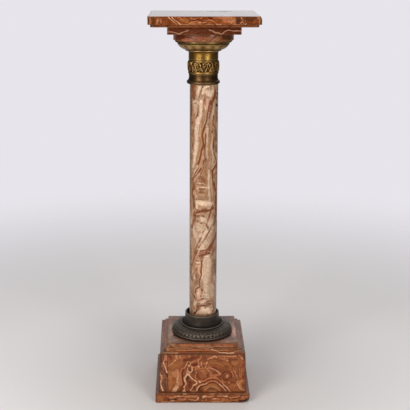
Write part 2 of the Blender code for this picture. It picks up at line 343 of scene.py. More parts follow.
def drawn(veins, place):
    """Lift veins drawn on a face to where they lie."""
    return [(kind, half, place(*np.array(path, float).T), strength) for kind, half, path, strength in veins]


def wandering(rng, place, low, high, count, eyes, kinds, widths=(1.0, 2.4), slant=None, strides=(6.0, 14.0)):
    """Veins for a face that the photo doesn't show: paths that turn a little at each step, and closed
    eyes. low and high are the face's corners. slant makes them all run near that angle."""
    found = []
    low, high = np.array(low, float), np.array(high, float)
    for _ in range(count):
        steps = rng.integers(5, 12)
        heading = rng.uniform(0.0, 2.0 * math.pi) if slant is None else slant + rng.normal(0.0, 0.12)
        turn = rng.normal(0.0, 0.35 if slant is None else 0.08, steps).cumsum() + heading
        stride = rng.uniform(*strides)
        path = rng.uniform(low, high) + stride * np.stack([np.cos(turn), np.sin(turn)], -1).cumsum(axis=0)
        kind = kinds[rng.integers(len(kinds))]
        broad = 3.0 if kind in ("tan", "olive", "pale") else 1.0
        found.append((kind, broad * rng.uniform(*widths), path, rng.uniform(0.4, 0.9)))
    for _ in range(eyes):
        angle = np.linspace(0.0, 2.0 * math.pi, 9)
        reach = rng.uniform(4.0, 12.0)
        size = reach * (1.0 + 0.25 * np.sin(angle * 2.0 + rng.uniform(0.0, 6.0)))
        centre = rng.uniform(low, high)
        path = centre + size[:, None] * np.stack([np.cos(angle), np.sin(angle)], -1)
        found.append((pink, rust)[rng.integers(2)](widths[0], path, rng.uniform(0.3, 0.6)))
        found.append(tan(0.8 * reach, [centre], 0.8))
    return drawn(found, place)


def other_sides(rng, half, low, high, count, eyes, kinds=("cream", "pink", "tan", "rust", "pink", "olive")):
    """Invented veins for the right, back and left faces of a square piece."""
    veins = []
    for place in (flat_place(X, half), flat_place(Y, half), flat_place(X, -half)):
        veins += wandering(rng, place, (-half, low), (half, high), count, eyes, kinds)
    return veins


# Meshes

def skin(name, node, grid):
    """Close a grid into one mesh, with a point at the middle of its foot and one at the middle of its
    top, and let it stand for its CAD piece. Returns the piece and its points in millimetres."""
    rows, columns = grid.shape[:2]
    poles = np.stack([grid[0].mean(axis=0), grid[-1].mean(axis=0)])
    points = np.concatenate([grid.reshape(-1, 3), poles])
    index = np.arange(rows * columns).reshape(rows, columns)
    here, above = index[:-1], index[1:]
    quads = np.stack([here, np.roll(here, -1, 1), np.roll(above, -1, 1), above], axis=-1).reshape(-1, 4)
    foot, top = index[0], index[-1]
    foot_fan = np.stack([np.full(columns, rows * columns), np.roll(foot, -1), foot], axis=-1)
    top_fan = np.stack([top, np.roll(top, -1), np.full(columns, rows * columns + 1)], axis=-1)
    mesh = bpy.data.meshes.new(name)
    mesh.from_pydata(points * MM, [], quads.tolist() + foot_fan.tolist() + top_fan.tolist())
    mesh.shade_smooth()
    mesh.update()
    piece = bpy.data.objects.new(name, mesh)
    bpy.context.scene.collection.objects.link(piece)
    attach(piece, "root")
    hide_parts(node)
    return piece, points


def carry(piece, name, *fields):
    """Store three fields on the piece's points under one name."""
    store = piece.data.attributes.new(name, "FLOAT_VECTOR", "POINT")
    store.data.foreach_set("vector", np.stack(fields, axis=-1).astype(np.float32).ravel())


def on_points(field):
    """A field on the grid as a field on the mesh's points, with its two poles."""
    return np.concatenate([field.ravel(), [field[0].mean(), field[-1].mean()]])


def stone_skin(name, node, grid, veins, material, dirt_and_shade, ledges=None, gloss=None, stretch=1.0,
               wobble=1.0, seed=1, net=None, hollows=1.0):
    """A stone piece: its skin, its veins, its banding and how worn, how dirty and darkened by painted shade,
    how netted with cracks and how highly polished it is. dirt_and_shade gives the soiling and painted shade
    of each point; ledges is how dirty its level faces are, and hollows how much soiling and painted shade
    darken its hollows."""
    sunk = hollow(grid, 2)
    piece, points = skin(name, node, grid)
    fields, growth = vein_fields(points, veins, stretch, wobble, seed)
    drift = cloud(points * np.array([1.0, 1.0, 1.0 / stretch]), 34.0, seed + 70)
    growth = growth + 12.0 * drift * ramp(growth, 1.0, 20.0)
    # Hollows are darkened: painted shade in the recesses, with soiling.
    grime_and_shade = np.maximum(hollows * on_points(ramp(sunk, 0.05, 0.35)), dirt_and_shade(points))
    if ledges is not None:
        level = on_points(ramp(outward(grid)[..., 2], 0.6, 0.95))
        patchy = np.clip(0.7 + 0.7 * cloud(points, 16.0, seed + 80), 0.15, 1.1)
        grime_and_shade = np.clip(np.maximum(grime_and_shade, ledges(points) * level * patchy), 0.0, 1.0)
    wear = on_points(ramp(-sunk, 0.10, 0.45)) * (1.0 - grime_and_shade)
    carry(piece, "light_veins", *[fields[kind] for kind in LIGHT_KINDS])
    carry(piece, "dark_veins", *[fields[kind] for kind in DARK_KINDS])
    carry(piece, "surface", fields["pale"], wear, grime_and_shade)
    shine = np.zeros(len(points)) if gloss is None else gloss(points)
    carry(piece, "banding", growth, shine, np.full(len(points), 0.3) if net is None else net(points))
    piece.data.materials.append(material)


def metal_skin(name, node, grid, material, stain_and_shade, worn=None):
    """A cast piece: its skin and how deep, how rubbed and how darkened by stains and painted shade each point
    is. worn, where given, lightens points as rubbed metal; the ring uses it for a painted highlight.
    """
    sunk = hollow(grid, 3)
    piece, points = skin(name, node, grid)
    rubbed = on_points(ramp(-sunk, 0.03, 0.30))
    if worn is not None:
        rubbed = np.maximum(rubbed, worn(points))
    carry(piece, "surface", on_points(ramp(sunk, 0.03, 0.30)), rubbed, stain_and_shade(points))
    piece.data.materials.append(material)


# Shader helpers

GREY = (0.5, 0.5, 0.5, 1.0)


def node(tree, kind, inputs=None, **settings):
    """Add a node, make its settings, and fill its inputs with numbers, colours or sockets."""
    made = tree.nodes.new(kind)
    for key, value in settings.items():
        setattr(made, key, value)
    for key, value in (inputs or {}).items():
        if isinstance(value, bpy.types.NodeSocket):
            tree.links.new(value, made.inputs[key])
        else:
            made.inputs[key].default_value = value
    return made


def maths(tree, operation, first, second=0.0, clamp=False):
    """One operation on two numbers. The two common ones have functions of their own."""
    inputs = {0: first, 1: second}
    return node(tree, "ShaderNodeMath", inputs, operation=operation, use_clamp=clamp).outputs[0]


def times(tree, first, second):
    return maths(tree, "MULTIPLY", first, second)


def plus(tree, first, second, clamp=False):
    return maths(tree, "ADD", first, second, clamp)


def step(tree, value, low, high, to_low=0.0, to_high=1.0):
    """to_low below low, to_high above high, smooth between."""
    inputs = {"Value": value, "From Min": low, "From Max": high, "To Min": to_low, "To Max": to_high}
    return node(tree, "ShaderNodeMapRange", inputs, interpolation_type="SMOOTHSTEP").outputs[0]


def mix(tree, share, first, second):
    """first where share is 0, second where it is 1."""
    return node(tree, "ShaderNodeMix", {0: share, 6: first, 7: second}, data_type="RGBA").outputs[2]


def grain(tree, place, scale, detail=3.0, roughness=0.55, kind="3D"):
    """Noise from 0 to 1. scale is in features per metre, or per unit of a single number."""
    inputs = {"Scale": scale, "Detail": detail, "Roughness": roughness}
    inputs["W" if kind == "1D" else "Vector"] = place
    return node(tree, "ShaderNodeTexNoise", inputs, noise_dimensions=kind).outputs[0]


def field(tree, name):
    """The three numbers that a piece carries under that name."""
    stored = node(tree, "ShaderNodeAttribute", attribute_name=name, attribute_type="GEOMETRY")
    return node(tree, "ShaderNodeSeparateXYZ", {0: stored.outputs["Vector"]}).outputs


def group(name, inputs, outputs):
    """A node group with inputs {name: number or GREY or, for a place, None} and outputs {name: kind}."""
    tree = bpy.data.node_groups.new(name, "ShaderNodeTree")
    for label, value in inputs.items():
        kind = "Vector" if value is None else "Color" if value is GREY else "Float"
        socket = tree.interface.new_socket(label, in_out="INPUT", socket_type="NodeSocket" + kind)
        if value is not None:
            socket.default_value = value
    for label, kind in outputs.items():
        tree.interface.new_socket(label, in_out="OUTPUT", socket_type="NodeSocket" + kind)
    return tree, tree.nodes.new("NodeGroupInput").outputs, tree.nodes.new("NodeGroupOutput").inputs


def use(tree, made_group, inputs):
    """Place a group in a material and return its outputs."""
    return node(tree, "ShaderNodeGroup", inputs, node_tree=made_group).outputs


def banded_stone_group():
    """Onyx: clouds of three colours; bands that follow the veins, by one-dimensional noise of the growth;
    thin lines where a second such noise crosses its middle; and a dark rim round each vein."""
    colours = {label: GREY for label in ("Dark", "Body", "Light", "Line")}
    numbers = {"Growth": 0.0, "Place": None, "Band": 4.0, "Lines": 0.5, "Rim": 0.5}
    tree, given, result = group("banded_stone", {**numbers, **colours}, {"Color": "Color"})
    clouds = grain(tree, given["Place"], 17.0, 4.0, 0.62)
    ragged = grain(tree, given["Place"], 80.0, 4.0, 0.62)
    growth = maths(tree, "DIVIDE", given["Growth"], given["Band"])
    growth = plus(tree, growth, times(tree, ragged, 1.6))
    bands = grain(tree, growth, 1.0, 2.0, 0.5, "1D")
    value = plus(tree, times(tree, clouds, 0.50), times(tree, bands, 0.32))
    value = plus(tree, value, times(tree, ragged, 0.18))
    colour = mix(tree, step(tree, value, 0.40, 0.49), given["Dark"], given["Body"])
    colour = mix(tree, step(tree, value, 0.51, 0.61), colour, given["Light"])
    crossing = grain(tree, times(tree, growth, 1.4), 1.0, 2.0, 0.5, "1D")
    off_middle = maths(tree, "ABSOLUTE", maths(tree, "SUBTRACT", crossing, 0.5))
    line = times(tree, step(tree, off_middle, 0.0, 0.05, 1.0, 0.0), given["Lines"])
    line = times(tree, line, step(tree, ragged, 0.40, 0.58))
    colour = mix(tree, line, colour, given["Line"])
    rim = times(tree, step(tree, given["Growth"], -0.2, 0.7), step(tree, given["Growth"], 1.2, 3.2, 1.0, 0.0))
    rim = times(tree, rim, step(tree, ragged, 0.36, 0.56, 0.3, 1.0))
    colour = mix(tree, times(tree, rim, given["Rim"]), colour, given["Dark"])
    tree.links.new(colour, result["Color"])
    return tree


def vein_layer_group():
    """Lays one kind of vein over a colour where its nearness, made ragged, is above zero."""
    inputs = {"Color": GREY, "Vein": GREY, "Nearness": -1.0, "Ragged": 0.5, "Soft": 0.5}
    tree, given, result = group("vein_layer", inputs, {"Color": "Color", "Mask": "Float"})
    rough = times(tree, maths(tree, "SUBTRACT", given["Ragged"], 0.5), 1.5)
    nearness = maths(tree, "DIVIDE", plus(tree, given["Nearness"], rough), given["Soft"])
    mask = step(tree, nearness, 0.0, 1.0)
    tree.links.new(mix(tree, mask, given["Color"], given["Vein"]), result["Color"])
    tree.links.new(mask, result["Mask"])
    return tree


def stone_grain_group():
    """Crystal grain, small dark specks, and a net of hair cracks where the stone carries one."""
    inputs = {"Color": GREY, "Place": None, "Grain": 0.3, "Cracks": 0.5, "Net": 0.3, "Cell": 60.0,
              "Crack": GREY}
    tree, given, result = group("stone_grain", inputs, {"Color": "Color", "Crack": "Float"})
    fine = plus(tree, times(tree, grain(tree, given["Place"], 420.0, 3.0, 0.7), 0.5),
                times(tree, grain(tree, given["Place"], 150.0, 2.0, 0.6), 0.5))
    spread = times(tree, maths(tree, "SUBTRACT", fine, 0.5), given["Grain"])
    colour = node(tree, "ShaderNodeMix", {0: 1.0, 6: given["Color"], 7: plus(tree, spread, 1.0)},
                  data_type="RGBA", blend_type="MULTIPLY").outputs[2]
    noise = node(tree, "ShaderNodeTexNoise", {"Vector": given["Place"], "Scale": 70.0, "Detail": 3.0})
    centred = {0: noise.outputs["Color"], 1: (0.5, 0.5, 0.5)}
    bend = node(tree, "ShaderNodeVectorMath", centred, operation="SUBTRACT").outputs[0]
    bend = node(tree, "ShaderNodeVectorMath", {0: bend, "Scale": 0.03}, operation="SCALE").outputs[0]
    bent = node(tree, "ShaderNodeVectorMath", {0: given["Place"], 1: bend}, operation="ADD").outputs[0]
    cells = node(tree, "ShaderNodeTexVoronoi", {"Vector": bent, "Scale": given["Cell"]},
                 feature="DISTANCE_TO_EDGE")
    crack = step(tree, cells.outputs["Distance"], 0.0, 0.10, 1.0, 0.0)
    patch = step(tree, grain(tree, given["Place"], 45.0), 0.42, 0.60, 0.15, 1.0)
    crack = times(tree, times(tree, crack, patch), given["Net"])
    speck = step(tree, grain(tree, given["Place"], 170.0, 2.0), 0.66, 0.74)
    crack = times(tree, maths(tree, "MAXIMUM", crack, speck), given["Cracks"])
    tree.links.new(mix(tree, crack, colour, given["Crack"]), result["Color"])
    tree.links.new(crack, result["Crack"])
    return tree


def handled_stone_group():
    """Polished stone that is used: arrises rubbed pale, hollows grimy with soiling and painted shade, and the
    polish uneven.
    """
    inputs = {"Color": GREY, "Place": None, "Wear": 0.0, "Grime and shade": 0.0, "Rubbed": GREY, "Grimy": GREY,
              "Pits": 0.0, "Gloss": 0.0, "Polish": 0.2}
    tree, given, result = group("handled_stone", inputs, {"Color": "Color", "Roughness": "Float"})
    speckle = grain(tree, given["Place"], 260.0, 3.0, 0.6)
    smear = grain(tree, given["Place"], 22.0, 3.0, 0.6)
    wear = times(tree, given["Wear"], step(tree, speckle, 0.35, 0.62, 0.25, 0.75))
    colour = mix(tree, wear, given["Color"], given["Rubbed"])
    # Soiling and painted shade, both laid in the grimy colour.
    grime_and_shade = times(tree, given["Grime and shade"], step(tree, speckle, 0.30, 0.60, 0.65, 0.95))
    colour = mix(tree, grime_and_shade, colour, given["Grimy"])
    colour = mix(tree, times(tree, given["Gloss"], 0.25), colour, given["Grimy"])
    dull = step(tree, given["Gloss"], 0.0, 1.0, 1.0, 0.35)
    rough = plus(tree, given["Polish"], times(tree, smear, 0.12))
    rough = times(tree, rough, dull)
    rough = plus(tree, rough, times(tree, grime_and_shade, 0.35))
    rough = plus(tree, rough, times(tree, wear, 0.15))
    rough = plus(tree, rough, times(tree, given["Pits"], 0.5), clamp=True)
    tree.links.new(colour, result["Color"])
    tree.links.new(rough, result["Roughness"])
    return tree


def patina_group():
    """Cast metal: bright where it is rubbed, dark in its hollows, tarnished in patches, and darkened where a
    piece gives painted shade.
    """
    inputs = {"Place": None, "Deep": 0.0, "Rubbed": 0.0, "Metal": GREY, "Tarnish": GREY, "Dark": GREY,
              "Bright": GREY, "Tarnished": 0.5, "Stain and shade": 0.0, "Polish": 0.3}
    tree, given, result = group("patina", inputs, {"Color": "Color", "Roughness": "Float"})
    patches = grain(tree, given["Place"], 34.0, 4.0, 0.62)
    speckle = grain(tree, given["Place"], 420.0, 3.0, 0.6)
    tarnish = times(tree, step(tree, patches, 0.38, 0.62), given["Tarnished"])
    colour = mix(tree, tarnish, given["Metal"], given["Tarnish"])
    colour = mix(tree, times(tree, given["Rubbed"], 0.7), colour, given["Bright"])
    deep = times(tree, given["Deep"], step(tree, speckle, 0.25, 0.55, 0.75, 1.0))
    stain_and_shade = times(tree, given["Stain and shade"], step(tree, grain(tree, given["Place"], 90.0), 0.30, 0.60, 0.6, 1.0))
    deep = maths(tree, "MAXIMUM", deep, stain_and_shade)
    colour = mix(tree, deep, colour, given["Dark"])
    rough = plus(tree, given["Polish"], times(tree, tarnish, 0.18))
    rough = plus(tree, rough, times(tree, deep, 0.3))
    rough = plus(tree, rough, times(tree, speckle, 0.08), clamp=True)
    tree.links.new(colour, result["Color"])
    tree.links.new(rough, result["Roughness"])
    return tree


BANDED_STONE = banded_stone_group()
VEIN_LAYER = vein_layer_group()
STONE_GRAIN = stone_grain_group()
HANDLED_STONE = handled_stone_group()
PATINA = patina_group()


def new_material(name):
    """An empty material, its tree and its shader."""
    material = bpy.data.materials.new(name)
    material.use_nodes = True
    tree = material.node_tree
    return material, tree, tree.nodes["Principled BSDF"]


def wire(tree, shader, finish, height, strength, depth):
    """Lead a finish's colour and roughness, and a height as a bump, to the shader."""
    bump = node(tree, "ShaderNodeBump", {"Height": height, "Strength": strength, "Distance": depth})
    tree.links.new(finish["Color"], shader.inputs["Base Color"])
    tree.links.new(finish["Roughness"], shader.inputs["Roughness"])
    tree.links.new(bump.outputs[0], shader.inputs["Normal"])


def onyx(name, bands, veins, band=4.0, lines=0.5, rim=0.7, grained=0.8, cracks=0.4, cell=40.0, polish=0.14,
         stretch=1.0, rubbed=(150, 100, 70), grimy=(70, 48, 32)):
    """Polished onyx. bands are the dark, body, light and line colours of the banding, and veins the colours
    of the drawn veins by kind. stretch draws its clouds out upwards. grimy is the colour of soiling, and also
    of the painted shade in hollows, joints and corners."""
    material, tree, shader = new_material(name)
    place = node(tree, "ShaderNodeTexCoord").outputs["Object"]
    drawn_out = {0: place, 1: (1.0, 1.0, 1.0 / stretch)}
    drawn_out = node(tree, "ShaderNodeVectorMath", drawn_out, operation="MULTIPLY").outputs[0]
    banding = field(tree, "banding")
    light, dark, surface = field(tree, "light_veins"), field(tree, "dark_veins"), field(tree, "surface")
    ragged = plus(tree, times(tree, grain(tree, place, 260.0, 3.0, 0.6), 0.5),
                  times(tree, grain(tree, place, 85.0, 2.0, 0.6), 0.5))
    colours = dict(zip(("Dark", "Body", "Light", "Line"), [tone(*item) for item in bands]))
    colour = use(tree, BANDED_STONE, {"Growth": banding[0], "Place": drawn_out, "Band": band,
                                      "Lines": lines, "Rim": rim, **colours})["Color"]
    order = (("tan", light[2]), ("pale", surface[0]), ("olive", dark[1]), ("pink", light[1]),
             ("rust", dark[0]), ("cream", light[0]), ("black", dark[2]))
    for kind, nearness in order:      # the last layer, black, also marks the pits
        layer = use(tree, VEIN_LAYER, {"Color": colour, "Vein": tone(*veins[kind]), "Nearness": nearness,
                                       "Ragged": ragged, "Soft": SOFT_EDGE[kind]})
        colour = layer["Color"]
    stone = use(tree, STONE_GRAIN, {"Color": colour, "Place": place, "Grain": grained, "Cracks": cracks,
                                    "Net": banding[2], "Cell": cell, "Crack": tone(*veins["olive"])})
    finish = use(tree, HANDLED_STONE, {"Color": stone["Color"], "Place": place, "Wear": surface[1],
                                       "Grime and shade": surface[2], "Pits": layer["Mask"], "Gloss": banding[1],
                                       "Rubbed": tone(*rubbed), "Grimy": tone(*grimy), "Polish": polish})
    dents = times(tree, times(tree, layer["Mask"], banding[1]), -3.0)
    wire(tree, shader, finish, plus(tree, times(tree, stone["Crack"], -0.4), dents), 0.25, 0.0005)
    shader.inputs["IOR"].default_value = 1.5
    shader.inputs["Specular IOR Level"].default_value = 0.3
    return material


def cast_metal(name, metal, tarnish, dark, bright, tarnished, polish, metallic=1.0, bump_depth=0.0004):
    """Old cast metal with its patina."""
    material, tree, shader = new_material(name)
    place = node(tree, "ShaderNodeTexCoord").outputs["Object"]
    surface = field(tree, "surface")
    finish = use(tree, PATINA, {"Place": place, "Deep": surface[0], "Rubbed": surface[1], "Stain and shade": surface[2],
                                "Metal": tone(*metal), "Tarnish": tone(*tarnish), "Dark": tone(*dark),
                                "Bright": tone(*bright), "Tarnished": tarnished, "Polish": polish})
    dents = plus(tree, grain(tree, place, 60.0, 2.0), times(tree, grain(tree, place, 500.0), 0.3))
    wire(tree, shader, finish, dents, 0.5, bump_depth)
    shader.inputs["Metallic"].default_value = metallic
    return material


# Finishes

BROWN_BANDS = ((90, 38, 12), (136, 70, 31), (155, 92, 48), (172, 112, 72))
VEIN_COLOURS = {"cream": (208, 159, 122), "pink": (178, 110, 75), "tan": (156, 97, 48), "rust": (94, 36, 10),
                "olive": (87, 52, 26), "black": (42, 14, 4), "pale": (178, 122, 82)}
brown_onyx = onyx("brown_onyx", BROWN_BANDS, VEIN_COLOURS, band=2.6, lines=0.85, grained=1.2)
cap_onyx = onyx("cap_onyx", BROWN_BANDS, {**VEIN_COLOURS, "pale": (156, 124, 94), "olive": (100, 74, 50)},
                band=2.6, lines=0.6, grained=1.2, rubbed=(158, 122, 96), grimy=(92, 72, 54))
side_onyx = onyx("side_onyx", ((86, 46, 28), (120, 68, 42), (142, 86, 58), (164, 110, 82)), VEIN_COLOURS,
                 band=2.6, lines=0.7, grained=1.2)
dark_onyx = onyx("dark_onyx", ((78, 32, 10), (108, 56, 30), (130, 76, 48), (150, 98, 70)),
                 {**VEIN_COLOURS, "cream": (190, 138, 108), "pink": (146, 86, 62)}, lines=0.4)
pink_onyx = onyx("pink_onyx", ((80, 38, 14), (126, 68, 34), (148, 90, 52), (166, 112, 76)),
                 {**VEIN_COLOURS, "pink": (168, 96, 62)}, lines=0.5, polish=0.34)
SHAFT_VEIN_COLOURS = {"cream": (232, 200, 172), "pink": (210, 162, 136), "tan": (168, 122, 84),
                      "rust": (124, 64, 34), "olive": (98, 72, 44), "black": (46, 20, 8),
                      "pale": (210, 182, 156)}
cream_onyx = onyx("cream_onyx", ((130, 90, 60), (182, 142, 112), (208, 176, 148), (118, 80, 54)),
                  SHAFT_VEIN_COLOURS, band=2.6, lines=0.7, rim=0.6, grained=1.3, cracks=0.7, cell=110.0,
                  polish=0.16, stretch=4.0, rubbed=(206, 174, 146), grimy=(90, 68, 46))
brass = cast_metal("brass", (157, 121, 61), (108, 70, 19), (50, 26, 4), (208, 174, 118), 0.8, 0.30)
dull_brass = cast_metal("dull_brass", (92, 68, 42), (64, 46, 28), (28, 19, 12), (124, 98, 66), 0.8, 0.30)
dark_bronze = cast_metal("dark_bronze", (70, 61, 53), (52, 45, 39), (22, 18, 15), (112, 100, 90), 0.7, 0.42,
                         metallic=0.7, bump_depth=0.0008)


# Plinth

FACE = 3                     # rings on a face that another piece covers
CORNER = 2.0                 # rounding of the upright corners
DIE_BATTER = 3.8             # how much narrower the die is at its top

# Drawn veins: half width, points as (across, height) in millimetres, or (across, depth) on a level face,
# and a strength where it is less than 1

